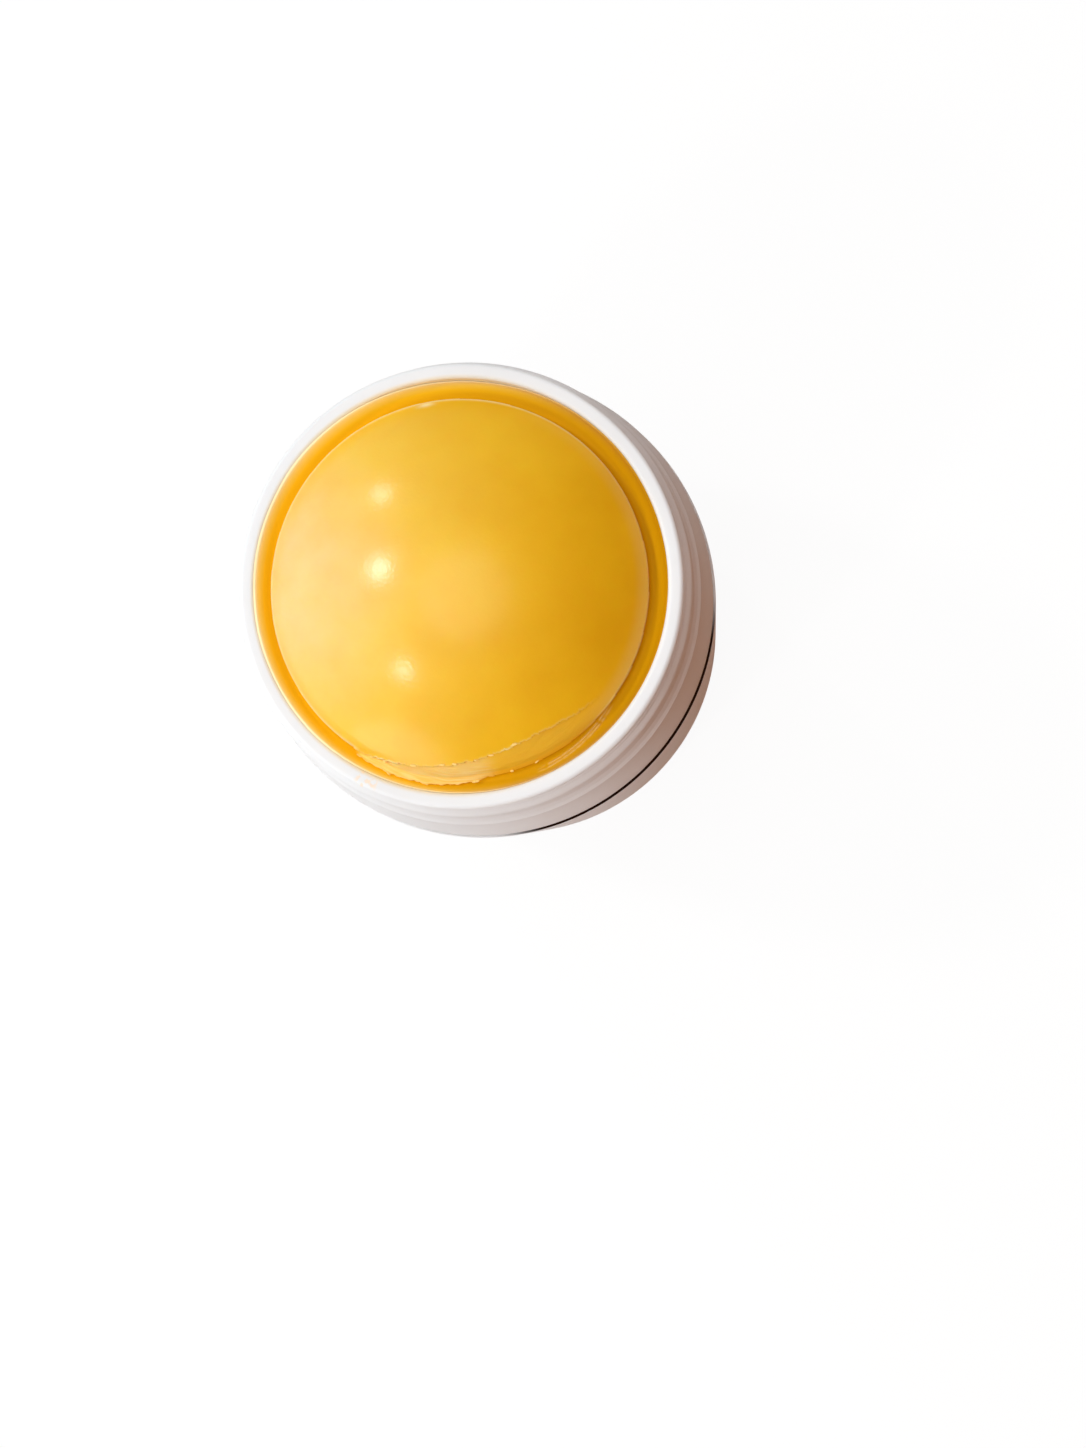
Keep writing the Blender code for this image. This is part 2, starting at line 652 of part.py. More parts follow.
def make_balm(parts, cutters, material):
    channel = THREAD_CREST + FIT_GAP
    channel_top = SPINDLE_TOP + FIT_GAP
    spigot = SKIRT_BORE - FIT_GAP
    boss_pocket = BOSS_RADIUS + FIT_GAP
    corners = dome_points()
    corners.append((DOME_RADIUS, LIP_HEIGHT - GUTTER_DEPTH + GUTTER_ROUND))
    corners += film_points()
    corners += [
        (BALM_RADIUS, SKIRT_TOP + FIT_GAP),
        (spigot, SKIRT_TOP + FIT_GAP),
        (spigot, PLATFORM_TOP + FIT_GAP),
        (boss_pocket, PLATFORM_TOP + FIT_GAP),
        (boss_pocket, BOSS_TOP + FIT_GAP),
        (channel, BOSS_TOP + FIT_GAP),
        (channel, channel_top),
        (0.0, channel_top),
    ]
    balm = turned("balm", corners, parts, OUTER_SEGMENTS)
    for index, angle in enumerate(turn_angles(PORT_COUNT)):
        place = (PORT_CIRCLE * math.cos(angle), PORT_CIRCLE * math.sin(angle))
        stud = cylinder(
            f"port_stud_{index}", PORT_RADIUS - FIT_GAP, PLATFORM_BOTTOM, PLATFORM_TOP + OVERRUN, cutters,
            PORT_SEGMENTS, place,
        )
        combine(balm, stud, "UNION")
    return finish(balm, material)


def build():
    clear_scene()
    parts = new_collection("lotion_stick", False)
    cutters = new_collection("cutters", True)
    white = plastic("white_polypropylene", (0.90, 0.90, 0.895), 0.28, 0.2)
    acetal = plastic("spindle_acetal", (0.82, 0.82, 0.80), 0.38, 0.0)
    soft = plastic("wiper_elastomer", (0.74, 0.74, 0.72), 0.55, 0.0)
    slip = plastic("washer_plastic", (0.62, 0.63, 0.64), 0.42, 0.0)
    steel = plastic("clip_steel", (0.60, 0.60, 0.62), 0.30, 0.0)
    steel.node_tree.nodes["Principled BSDF"].inputs["Metallic"].default_value = 1.0
    wax = plastic("balm_wax", (0.88, 0.55, 0.07), 0.32, 0.1)
    make_barrel(parts, cutters, white)
    make_outer_sleeve(parts, white)
    make_friction_washer(parts, slip)
    make_turn_knob(parts, cutters, white)
    make_base_disc(parts, white)
    make_spindle(parts, cutters, acetal)
    make_spindle_clip(parts, cutters, steel)
    make_elevator(parts, cutters, white)
    make_wiper_ring(parts, soft)
    make_balm(parts, cutters, wax)


build()
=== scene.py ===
import math
import random

import bmesh
import bpy
from mathutils import Matrix, Vector, noise


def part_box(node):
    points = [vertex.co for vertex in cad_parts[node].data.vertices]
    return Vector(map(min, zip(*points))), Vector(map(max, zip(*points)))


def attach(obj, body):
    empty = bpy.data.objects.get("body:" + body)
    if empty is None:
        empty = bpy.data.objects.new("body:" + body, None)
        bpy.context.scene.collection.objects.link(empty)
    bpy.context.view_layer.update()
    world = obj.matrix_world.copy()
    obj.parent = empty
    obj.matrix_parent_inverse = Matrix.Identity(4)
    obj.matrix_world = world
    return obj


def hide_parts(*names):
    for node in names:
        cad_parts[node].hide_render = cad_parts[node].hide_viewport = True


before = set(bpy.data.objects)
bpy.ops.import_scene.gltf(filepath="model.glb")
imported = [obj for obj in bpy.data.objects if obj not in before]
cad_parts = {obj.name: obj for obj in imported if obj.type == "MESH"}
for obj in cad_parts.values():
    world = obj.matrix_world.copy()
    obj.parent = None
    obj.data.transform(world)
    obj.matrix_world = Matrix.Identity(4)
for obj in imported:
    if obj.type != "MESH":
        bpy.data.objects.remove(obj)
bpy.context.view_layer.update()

MM = 0.001

# Places and sizes that the frame gives
LIP_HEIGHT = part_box("barrel")[1][2]
COLLAR_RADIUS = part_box("outer_sleeve")[1][0]
TAIL_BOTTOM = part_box("barrel")[0][2]
DOME_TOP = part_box("balm")[1][2]
SLEEVE_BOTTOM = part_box("outer_sleeve")[0][2]
SPIGOT_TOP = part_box("outer_sleeve")[1][2]
WASHER_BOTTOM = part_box("friction_washer")[0][2]
WASHER_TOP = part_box("friction_washer")[1][2]
RING_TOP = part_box("turn_knob")[1][2]
KNOB_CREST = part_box("turn_knob")[1][0]
DISC_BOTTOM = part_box("base_disc")[0][2]
DISC_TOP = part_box("base_disc")[1][2]
DISC_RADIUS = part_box("base_disc")[1][0]
SKIRT_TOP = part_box("elevator")[1][2]
SPINDLE_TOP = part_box("spindle")[1][2]

# Walls and gaps
FIT_GAP = 0.3 * MM
BORE_RADIUS = 22.4 * MM
TUBE_RADIUS = 24.1 * MM
SLEEVE_BORE = 25.9 * MM
COLLAR_WALL = 1.6 * MM

# Collar, from the lip down to its rim
LIP_INNER_ROUND = 0.5 * MM
LIP_OUTER_ROUND = 0.55 * MM
EDGE_ROUND = 0.12 * MM
HOLLOW_ROUND = 0.25 * MM
LIP_BAND = 1.6 * MM
HOOP_STAND = 0.2 * MM
HOOP_SLOPE = 0.35 * MM
HOOP_BAND = 0.6 * MM
GROOVE_DEPTH = 0.07 * MM
GROOVE_HALF = 0.18 * MM
TAPER_BAND = 4.0 * MM
TAPER_GROWTH = 0.7 * MM
TAPER_KNEE_DROP = 1.6 * MM
TAPER_KNEE_GROWTH = 0.66 * MM
SHOULDER_BAND = 3.3 * MM
SHOULDER_GROWTH = 0.5 * MM
SHOULDER_KNEE_DROP = 2.3 * MM
SHOULDER_KNEE_GROWTH = 0.12 * MM
STEP_STAND = 0.35 * MM
STEP_SLOPE = 0.6 * MM
STEP_BAND = 0.5 * MM
CONE_KNEE_DROP = 4.0 * MM
CONE_KNEE_GROWTH = 0.35 * MM
COLLAR_HEIGHT = 20.0 * MM
COLLAR_RIM = 2.0 * MM
RIM_INSET = 0.3 * MM
RIM_ROUND = 0.35 * MM
ROOF_WALL = 1.8 * MM
ROOF_WIDTH = 0.75 * MM
PARTING_GAP = 1.0 * MM

# Lower end of the barrel and its keyways
TAIL_RELIEF = 0.4 * MM
BEAD_STAND = 0.7 * MM
BEAD_HEIGHT = 1.2 * MM
BEAD_LIFT = 4.5 * MM
KEY_COUNT = 3
KEYWAY_WIDTH = 3.0 * MM
KEYWAY_DEPTH = 0.9 * MM
KEYWAY_TOP = 60.7 * MM

# Sleeve
SPIGOT_WALL = 1.0 * MM
SPIGOT_ROOT = 1.5 * MM
LEDGE_THICKNESS = 1.5 * MM
SLEEVE_TOP_ROUND = 0.15 * MM
SLEEVE_FOOT_ROUND = 0.4 * MM

# Knob and the disc in its foot
KNOB_HEIGHT = 9.2 * MM
KNOB_ROUND = 0.5 * MM
KNOB_FLOOR = 1.6 * MM
SEAT_LEDGE = 0.6 * MM
GRIP_RIBS = 36
RIB_STAND = 0.6 * MM
RIB_MARGIN = 0.9 * MM
RIB_FADE = 0.5 * MM
RIB_SHARE = 0.46
RIB_FLANK_SHARE = 0.16
HUB_RADIUS = 8.0 * MM
HUB_HEIGHT = 3.8 * MM
SOCKET_RADIUS = 4.5 * MM
DISC_ROUND = 0.2 * MM
DISC_DISH = 0.25 * MM
DISC_RIM_WIDTH = 2.0 * MM
DISC_RIM_SLOPE = 0.5 * MM

# Balm: dome, gutter and the film that climbs the bore
DOME_RADIUS = 20.57 * MM
DOME_SHIFT = 0.3 * MM
DOME_SHIFT_TURN = math.radians(-136.0)
DOME_EDGE_DEPTH = 0.9 * MM
DOME_ROUND = 0.16 * MM
DOME_WAVE = 0.02 * MM
WAVE_LENGTH = 7.0 * MM
GUTTER_DEPTH = 2.2 * MM
GUTTER_ROUND = 0.45 * MM
FILM_TOP_DEPTH = 0.15 * MM
FILM_TOP_SWAY = 0.08 * MM
FILM_WALL = 0.1 * MM
FILM_EDGE_SHARES = (0.6, 0.3, 0.0)
FILM_FALL = 0.7 * MM
FILM_FALL_TURN = math.radians(-45.0)
FILM_DIP = 1.2 * MM
FILM_DIP_TURN = math.radians(83.0)
FILM_DIP_SPREAD = math.radians(28.0)
# Painted highlight along the dome's edge, and a painted paler band inside the edge on the right side
EDGE_HIGHLIGHT = 0.2 * MM
EDGE_HIGHLIGHT_FALL = 0.5
EDGE_GLOW_BAND = 1.7 * MM
EDGE_GLOW_TURN = math.radians(-10.0)
EDGE_GLOW_SHARE = 0.2
COLUMN_GAP = 0.03 * MM
COLUMN_RADIUS = BORE_RADIUS - COLUMN_GAP

# Worn place at the near edge: a scraped layer ends in a ragged line, and its crumbs fill the gutter
WORN_START = math.radians(-124.0)
WORN_END = math.radians(-35.0)
WORN_FADE_START = math.radians(3.0)
WORN_FADE_END = math.radians(20.0)
WORN_TURN = math.radians(-63.0)
WORN_INNER = 18.2 * MM
WORN_EASE = 0.5 * MM
WORN_REACH_LEFT = 3.15 * MM
WORN_REACH_RIGHT = 3.7 * MM
WORN_DEPTH = 0.16 * MM
WORN_RAG = 0.22 * MM
WORN_ROUND = 0.9 * MM
RAG_LENGTH = 0.6 * MM
FINE_RAG_LENGTH = RAG_LENGTH / 3.0
FINE_RAG_SHARE = 0.6
BURR_STAND = 0.07 * MM
BURR_WIDTH = 0.14 * MM
BURR_LEAST = 0.3
BURR_FULL = 0.5
SHEET_SLOPE = 0.75
FLAKE_START = math.radians(-123.0)
FLAKE_END = math.radians(-77.0)
FLAKE_MIDDLE = math.radians(-104.0)
FLAKE_RADIUS = 21.65 * MM
FLAKE_FALL_LEFT = 2.6 * MM
FLAKE_FALL_RIGHT = 5.4 * MM
FLAKE_STAND = 0.4 * MM
FLAKE_FADE = math.radians(9.0)
FLAKE_PALENESS = 0.3
STREAK_STAND = 0.03 * MM
STREAK_LENGTH = 2.0 * MM
STREAK_WIDTH = 0.16 * MM
STREAK_CONTRAST = 0.4
STREAK_PALENESS = 0.5
RIDGE_START = math.radians(-69.0)
RIDGE_END = math.radians(-37.0)
RIDGE_FADE = math.radians(6.0)
RIDGE_RADIUS = 21.7 * MM
RIDGE_FALL = 3.0 * MM
RIDGE_STAND = 0.16 * MM
RIDGE_WIDTH = 0.1 * MM
RIDGE_SPACING = 3.0 * RIDGE_WIDTH
RIDGE_BREAK_START = -0.6
RIDGE_BREAK_END = 0.1
RIDGE_PALENESS = 0.35
NICK_ANGLE = math.radians(100.8)
NICK_RADIUS = 20.0 * MM
NICK_LENGTH = 0.8 * MM
NICK_WIDTH = 0.28 * MM
NICK_DEPTH = 0.1 * MM
CRUMB_SEED = 11
CRUMB_COUNT = 16
CRUMB_SIZE = 0.11 * MM
CRUMB_SIZE_SHARES = (0.6, 1.3)
CRUMB_LENGTH_SHARES = (1.4, 3.2)
CRUMB_HEIGHT_SHARE = 0.7
CRUMB_SWING = 0.5  # radians
CRUMB_DENT_SHARE = 0.35

# Noise seeds of the balm's face
STREAK_SEED = 2.0
FILM_SEED = 3.0
SWAY_SEED = 4.0
RAG_SEED = 5.0
FINE_RAG_SEED = 6.0
BURR_SEED = 7.0
FLAKE_SEED = 8.0

# Below the dome
BOSS_RADIUS = 7.2 * MM
BOSS_TOP = 20.7 * MM
PLATFORM_TOP = 16.9 * MM
SKIRT_BORE = 19.8 * MM
CHANNEL_RADIUS = 5.1 * MM

# Camera and stage
CAMERA_PLACE = Vector((27.211, -23.138, 276.144)) * MM
CAMERA_TARGET = Vector((9.055, -14.972, 70.0)) * MM
CAMERA_LENS = 48.26
SENSOR_WIDTH = 36.0
FLOOR_SIZE = 6.0
WHITE = (1.0, 1.0, 1.0)
WARM = (1.0, 0.39, 0.10)
LAMP_DISTANCE = 0.8
LAMPS = [  # name, direction from the lip, width in metres, watts, colour
    ("key_lamp", (-0.614, 0.190, 0.766), 0.11, 1.35, WHITE),
    ("side_lamp", (-0.570, 0.668, 0.478), 0.05, 0.55, WHITE),
    ("near_lamp", (-0.464, -0.520, 0.717), 0.07, 0.85, WHITE),
    ("low_lamp", (-0.990, 0.015, 0.12), 0.16, 0.03, WHITE),
    ("top_lamp", (0.0, 0.0, 1.0), 0.6, 2.45, WHITE),
    ("front_lamp", (-0.45, -0.88, 0.08), 0.5, 2.2, WHITE),
    ("warm_lamp", (0.95, -0.3, 0.1), 0.6, 0.9, WARM),
]
ZENITH = (0.25, 0.25, 0.25)
ZENITH_START = 0.7
LIT_HORIZON = (0.52, 0.52, 0.52)
DIM_HORIZON = (0.11, 0.030, 0.004)
DIM_SIDE = (0.951, -0.309, 0.0)
LIT_BOUNCE = (0.69, 0.665, 0.63)
DIM_BOUNCE = (0.22, 0.066, 0.012)
DIM_START = 0.0  # cosines of the angle from DIM_SIDE
DIM_END = 0.4
FLOOR_SHADE = (0.09, 0.09, 0.09)
FLOOR_GLOW = 0.92

# White plastic: painted shade in the seam, smear and stain on the lip, gloss and scatter
SEAM_REACH = 0.16 * MM
SEAM_EDGE = 0.06 * MM
SEAM_SHADE_COLOUR = (0.02, 0.006, 0.003)
SEAM_SIDE = (0.743, -0.669, 0.0)
SEAM_START = 0.84  # shares of the collar's radius
SEAM_END = 0.70
SMEAR_PLACE = Vector((-10.03, -21.03, 70.0)) * MM
SMEAR_REACH = 1.6 * MM
SMEAR_COLOUR = (0.93, 0.80, 0.66)
SMEAR_START = 0.5
SMEAR_END = 0.6
STAIN_END = 23.0 * MM
STAIN_SHARE = 0.5
STAIN_COLOUR = (0.97, 0.80, 0.45)
PLASTIC_COLOURS = ((0.85, 0.87, 0.885), (0.88, 0.90, 0.915))
PLASTIC_ROUGHNESS = (0.48, 0.54)
WALL_GLOSS = 0.01
LIP_GLOSS = 0.2
PLASTIC_SCATTER = 0.12
PLASTIC_SCATTER_RADIUS = (1.0, 0.9, 0.8)
PLASTIC_SCATTER_SCALE = 0.8 * MM

# Balm: colours by place with painted sheen, shade, highlight and glow, gloss and scatter
WAX_COLOURS = ((0.86, 0.445, 0.002), (0.93, 0.52, 0.006))
WORN_COLOUR = (0.88, 0.50, 0.03)
PALE_AND_HIGHLIGHT_COLOUR = (0.98, 0.80, 0.40)
# Painted sheen: the wax turns paler towards the lit left side
PAINTED_SHEEN_COLOURS = [
    (0.2, (0.965, 0.735, 0.09)), (0.6, (0.97, 0.755, 0.17)), (0.95, (0.97, 0.74, 0.42)),
]
# Painted shade: the film turns deep orange towards the dim right side
SHADED_SIDE = (1.0, 0.0, 0.0)
SHADE_START_SHARE = -0.8
PAINTED_SHADE_FILM_COLOUR = (0.62, 0.30, 0.002)
# Painted glow: the film emits light on its left side, standing in for light through the wall
PAINTED_FILM_GLOW = 0.27
# Where the painted sheen lies and how much it varies
PAINTED_SHEEN_PLACE = Vector((-18.5, -0.5, 71.0)) * MM
PAINTED_SHEEN_REACH = 38.0 * MM
PAINTED_SHEEN_SHARE = 0.5
PAINTED_SHEEN_SWAY = 0.07
EDGE_FADE = 0.1 * MM
FILM_START = 20.9 * MM
FILM_REACH = 0.6 * MM
WAX_ROUGHNESS = (0.40, 0.46)
WORN_ROUGHNESS = 0.1
WAX_GLOSS = 0.06
FILM_GLOSS = 0.02
WAX_IOR = 1.45
WAX_SCATTER = 0.4
WAX_SCATTER_RADIUS = (1.0, 0.45, 0.12)
WAX_SCATTER_SCALE = 2.2 * MM
COAT_LEAST = 0.06
COAT_SHARE = 0.75
COAT_ROUGHNESS = 0.21
FILM_COLOURS = [
    (0.0, (0.69, 0.355, 0.003)), (0.15, (0.79, 0.47, 0.012)), (0.4, (0.85, 0.60, 0.09)),
    (0.75, (0.89, 0.70, 0.27)), (1.0, (0.91, 0.78, 0.46)),
]

# Noise in the materials: its middle range, detail, scales per metre and bump heights
NOISE_LOW = 0.3
NOISE_HIGH = 0.7
NOISE_DETAIL = 3.0
WAX_DETAIL = 6.0
WAX_WAVE_DETAIL = 2.0
MOULD_WAVE_DETAIL = 1.0
MOULD_STRETCH = 0.08
MOULD_CLOUDS = 90.0
MOULD_GLOSS_SPOTS = 300.0
MOULD_WAVES = 120.0
MOULD_GRAIN = 4000.0
MOULD_WAVE_STAND = 0.006 * MM
MOULD_GRAIN_STAND = 0.001 * MM
SMEAR_STREAKS = 1500.0
WAX_CLOUDS = 110.0
PAINTED_SHEEN_PATCHES = 260.0
WAX_GLOSS_SPOTS = 900.0
WAX_WAVES = 160.0
WAX_GRAIN = 2500.0
WAX_WAVE_STAND = 0.02 * MM
WAX_GRAIN_STAND = 0.014 * MM
INNER_CLOUDS = 200.0
INNER_GLOSS_SPOTS = 700.0
INNER_GRAIN = 3000.0
INNER_GRAIN_STAND = 0.006 * MM

# Inner pieces and crumbs: material, dark and light colour, least and most roughness, metal, stretch
CRUMB_LOOK = ("balm_crumb_wax", (0.94, 0.62, 0.14), (0.98, 0.72, 0.24), 0.38, 0.5)
INNER_LOOKS = {
    "elevator": ("elevator_plastic", (0.86, 0.86, 0.86), (0.90, 0.90, 0.89), 0.28, 0.40),
    "spindle": ("spindle_acetal", (0.78, 0.78, 0.76), (0.84, 0.84, 0.82), 0.32, 0.44, 0.0, 0.2),
    "wiper_ring": ("wiper_elastomer", (0.70, 0.70, 0.68), (0.76, 0.76, 0.74), 0.50, 0.62),
    "friction_washer": ("washer_plastic", (0.58, 0.59, 0.60), (0.64, 0.65, 0.66), 0.38, 0.50),
    "spindle_clip": ("clip_steel", (0.56, 0.56, 0.58), (0.62, 0.62, 0.64), 0.22, 0.36, 1.0, 0.1),
}

# Mesh fineness
SEGMENTS = 360
KNOB_RISES = 16
KNOB_SEGMENTS = GRIP_RIBS * 12
BALM_SEGMENTS = 1080
COARSE_RING = 0.4 * MM
FINE_RING = 0.05 * MM
FINE_START = 17.8 * MM
FILLET_TURN = math.radians(9.0)
FILLET_EDGE_SHARE = 0.45
SHARP_ANGLE = math.radians(50.0)


def smooth_step(low, high, value):
    share = min(1.0, max(0.0, (value - low) / (high - low)))
    return share * share * (3.0 - 2.0 * share)


# Turned shapes: outlines are corners (radius, height, fillet) that run down the outer side
def fillet(before, corner, after, radius):
    back = before - corner
    ahead = after - corner
    half = back.angle(ahead) / 2.0
    reach = min(radius / math.tan(half), FILLET_EDGE_SHARE * min(back.length, ahead.length))
    centre = corner + (back.normalized() + ahead.normalized()).normalized() * reach / math.cos(half)
    start = corner + back.normalized() * reach - centre
    end = corner + ahead.normalized() * reach - centre
    turn = start.angle_signed(end)
    steps = max(2, math.ceil(abs(turn) / FILLET_TURN))
    return [centre + Matrix.Rotation(-turn * step / steps, 2) @ start for step in range(steps + 1)]


def outline(corners, closed):
    spots = [Vector(corner[:2]) for corner in corners]
    last = len(spots) - 1
    points = []
    for index, corner in enumerate(corners):
        radius = corner[2] if len(corner) > 2 else 0.0
        if radius <= 0.0 or (not closed and index in (0, last)):
            points.append(spots[index])
        else:
            points += fillet(spots[index - 1], spots[index], spots[(index + 1) % len(spots)], radius)
    return points


def mesh_object(name, vertices, faces):
    mesh = bpy.data.meshes.new(name)
    mesh.from_pydata(vertices, [], faces)
    mesh.validate()
    mesh.shade_smooth()
    mesh.set_sharp_from_angle(angle=SHARP_ANGLE)
    piece = bpy.data.objects.new(name, mesh)
    bpy.context.scene.collection.objects.link(piece)
    return piece


def turned(name, points, segments, closed, shape=None):
    """Spins an outline round the stick's axis; shape(radius, height, angle) may move each point."""
    vertices = []
    rings = []
    for point in points:
        if point.x <= 0.0:
            rings.append([len(vertices)] * segments)
            vertices.append((0.0, 0.0, point.y))
            continue
        rings.append(list(range(len(vertices), len(vertices) + segments)))
        for step in range(segments):
            angle = 2.0 * math.pi * step / segments
            radius, height = shape(point.x, point.y, angle) if shape else point
            vertices.append((radius * math.cos(angle), radius * math.sin(angle), height))
    pairs = list(zip(rings, rings[1:]))
    if closed:
        pairs.append((rings[-1], rings[0]))
    faces = []
    for upper, lower in pairs:
        for step in range(segments):
            ahead = (step + 1) % segments
            face = [upper[step], lower[step], lower[ahead], upper[ahead]]
            corners = list(dict.fromkeys(face))
            if len(corners) > 2:
                faces.append(corners)
    return mesh_object(name, vertices, faces)


def cut(piece, cutter):
    """Cuts the cutter out of the piece and removes it."""
    boolean = piece.modifiers.new("Cut", "BOOLEAN")
    boolean.operation = "DIFFERENCE"
    boolean.solver = "EXACT"
    boolean.object = cutter
    graph = bpy.context.evaluated_depsgraph_get()
    mesh = bpy.data.meshes.new_from_object(piece.evaluated_get(graph))
    piece.modifiers.clear()
    piece.data = mesh
    bpy.data.objects.remove(cutter, do_unlink=True)


def block(name, near, far, width, low, high, angle):
    """An upright block that reaches outwards from the axis at the given angle."""
    corners = [(x, y, z) for x in (near, far) for y in (-width / 2.0, width / 2.0) for z in (low, high)]
    turn = Matrix.Rotation(angle, 3, "Z")
    faces = [(0, 1, 3, 2), (4, 6, 7, 5), (0, 4, 5, 1), (2, 3, 7, 6), (0, 2, 6, 4), (1, 5, 7, 3)]
    return mesh_object(name, [turn @ Vector(corner) for corner in corners], faces)


def make_barrel():
    hoop = TUBE_RADIUS + HOOP_STAND
    taper = hoop + TAPER_GROWTH
    shoulder = taper + SHOULDER_GROWTH
    step = shoulder + STEP_STAND
    lip_bottom = LIP_HEIGHT - LIP_BAND
    hoop_top = lip_bottom - HOOP_SLOPE
    groove = hoop_top - HOOP_BAND
    taper_bottom = hoop_top - TAPER_BAND
    shoulder_bottom = taper_bottom - SHOULDER_BAND
    cone_top = shoulder_bottom - STEP_SLOPE
    rim_radius = COLLAR_RADIUS - RIM_INSET
    rim_bottom = LIP_HEIGHT - COLLAR_HEIGHT
    rim_top = rim_bottom + COLLAR_RIM
    skirt_bore = COLLAR_RADIUS - COLLAR_WALL
    roof = cone_top - ROOF_WALL
    tail = TUBE_RADIUS - TAIL_RELIEF
    bead = TAIL_BOTTOM - FIT_GAP + BEAD_LIFT
    corners = [
        (BORE_RADIUS, LIP_HEIGHT, LIP_INNER_ROUND),
        (TUBE_RADIUS, LIP_HEIGHT, LIP_OUTER_ROUND),
        (TUBE_RADIUS, lip_bottom + GROOVE_HALF),
        (TUBE_RADIUS - GROOVE_DEPTH, lip_bottom, HOLLOW_ROUND),
        (hoop, hoop_top, EDGE_ROUND),
        (hoop, groove + GROOVE_HALF, EDGE_ROUND),
        (hoop - GROOVE_DEPTH, groove, EDGE_ROUND),
        (hoop + GROOVE_DEPTH, groove - GROOVE_HALF, EDGE_ROUND),
        (hoop + TAPER_KNEE_GROWTH, hoop_top - TAPER_KNEE_DROP, TAPER_BAND),
        (taper, taper_bottom, HOLLOW_ROUND),
        (taper + SHOULDER_KNEE_GROWTH, taper_bottom - SHOULDER_KNEE_DROP, HOLLOW_ROUND),
        (shoulder, shoulder_bottom, HOLLOW_ROUND),
        (step, cone_top, EDGE_ROUND),
        (step, cone_top - STEP_BAND, HOLLOW_ROUND),
        (step + CONE_KNEE_GROWTH, cone_top - CONE_KNEE_DROP, COLLAR_RADIUS),
        (rim_radius, rim_top, COLLAR_RADIUS),
        (rim_radius, rim_bottom, RIM_ROUND),
        (skirt_bore, rim_bottom, EDGE_ROUND),
        (skirt_bore, rim_top),
        (TUBE_RADIUS + ROOF_WIDTH, roof, HOLLOW_ROUND),
        (TUBE_RADIUS, roof, HOLLOW_ROUND),
        (TUBE_RADIUS, WASHER_BOTTOM),
        (tail, WASHER_BOTTOM),
        (tail, bead + BEAD_HEIGHT / 2.0, HOLLOW_ROUND),
        (tail + BEAD_STAND, bead + BEAD_HEIGHT / 4.0, HOLLOW_ROUND),
        (tail + BEAD_STAND, bead, HOLLOW_ROUND),
        (tail, bead - BEAD_HEIGHT / 2.0),
        (tail, TAIL_BOTTOM, EDGE_ROUND),
        (BORE_RADIUS, TAIL_BOTTOM, EDGE_ROUND),
    ]
    barrel = turned("barrel_shell", outline(corners, True), SEGMENTS, True)
    for index in range(KEY_COUNT):
        keyway = block(
            "keyway", BORE_RADIUS - KEYWAY_DEPTH, BORE_RADIUS + KEYWAY_DEPTH, KEYWAY_WIDTH,
            TAIL_BOTTOM - KEYWAY_DEPTH, KEYWAY_TOP, 2.0 * math.pi * index / KEY_COUNT,
        )
        cut(barrel, keyway)
    return barrel


def make_sleeve():
    sleeve_top = LIP_HEIGHT - COLLAR_HEIGHT - PARTING_GAP
    spigot = COLLAR_RADIUS - COLLAR_WALL - FIT_GAP
    ledge_bottom = WASHER_TOP + FIT_GAP
    ledge_top = ledge_bottom + LEDGE_THICKNESS
    ledge_bore = TUBE_RADIUS + FIT_GAP
    corners = [
        (spigot - SPIGOT_WALL, SPIGOT_TOP, EDGE_ROUND),
        (spigot, SPIGOT_TOP, EDGE_ROUND),
        (spigot, sleeve_top, HOLLOW_ROUND),
        (COLLAR_RADIUS, sleeve_top, SLEEVE_TOP_ROUND),
        (COLLAR_RADIUS, SLEEVE_BOTTOM, SLEEVE_FOOT_ROUND),
        (SLEEVE_BORE, SLEEVE_BOTTOM, EDGE_ROUND),
        (SLEEVE_BORE, ledge_bottom),
        (ledge_bore, ledge_bottom, EDGE_ROUND),
        (ledge_bore, ledge_top, EDGE_ROUND),
        (SLEEVE_BORE, ledge_top),
        (SLEEVE_BORE, sleeve_top - SPIGOT_ROOT),
        (spigot - SPIGOT_WALL, sleeve_top - SPIGOT_ROOT),
    ]
    return turned("sleeve_shell", outline(corners, True), SEGMENTS, True)


def ribbed(radius, height, angle):
    """Raises the knob's grip ribs from its outer wall."""
    wall = KNOB_CREST - RIB_STAND
    if radius < wall - EDGE_ROUND:
        return radius, height
    place = (angle * GRIP_RIBS / (2.0 * math.pi)) % 1.0
    half = abs(place - 0.5)
    flank = RIB_FLANK_SHARE / 2.0
    across = 1.0 - smooth_step(RIB_SHARE / 2.0 - flank, RIB_SHARE / 2.0 + flank, half)
    along = smooth_step(RIB_MARGIN - RIB_FADE, RIB_MARGIN + RIB_FADE, height)
    along *= smooth_step(RIB_MARGIN - RIB_FADE, RIB_MARGIN + RIB_FADE, KNOB_HEIGHT - height)
    return radius + RIB_STAND * across * along, height


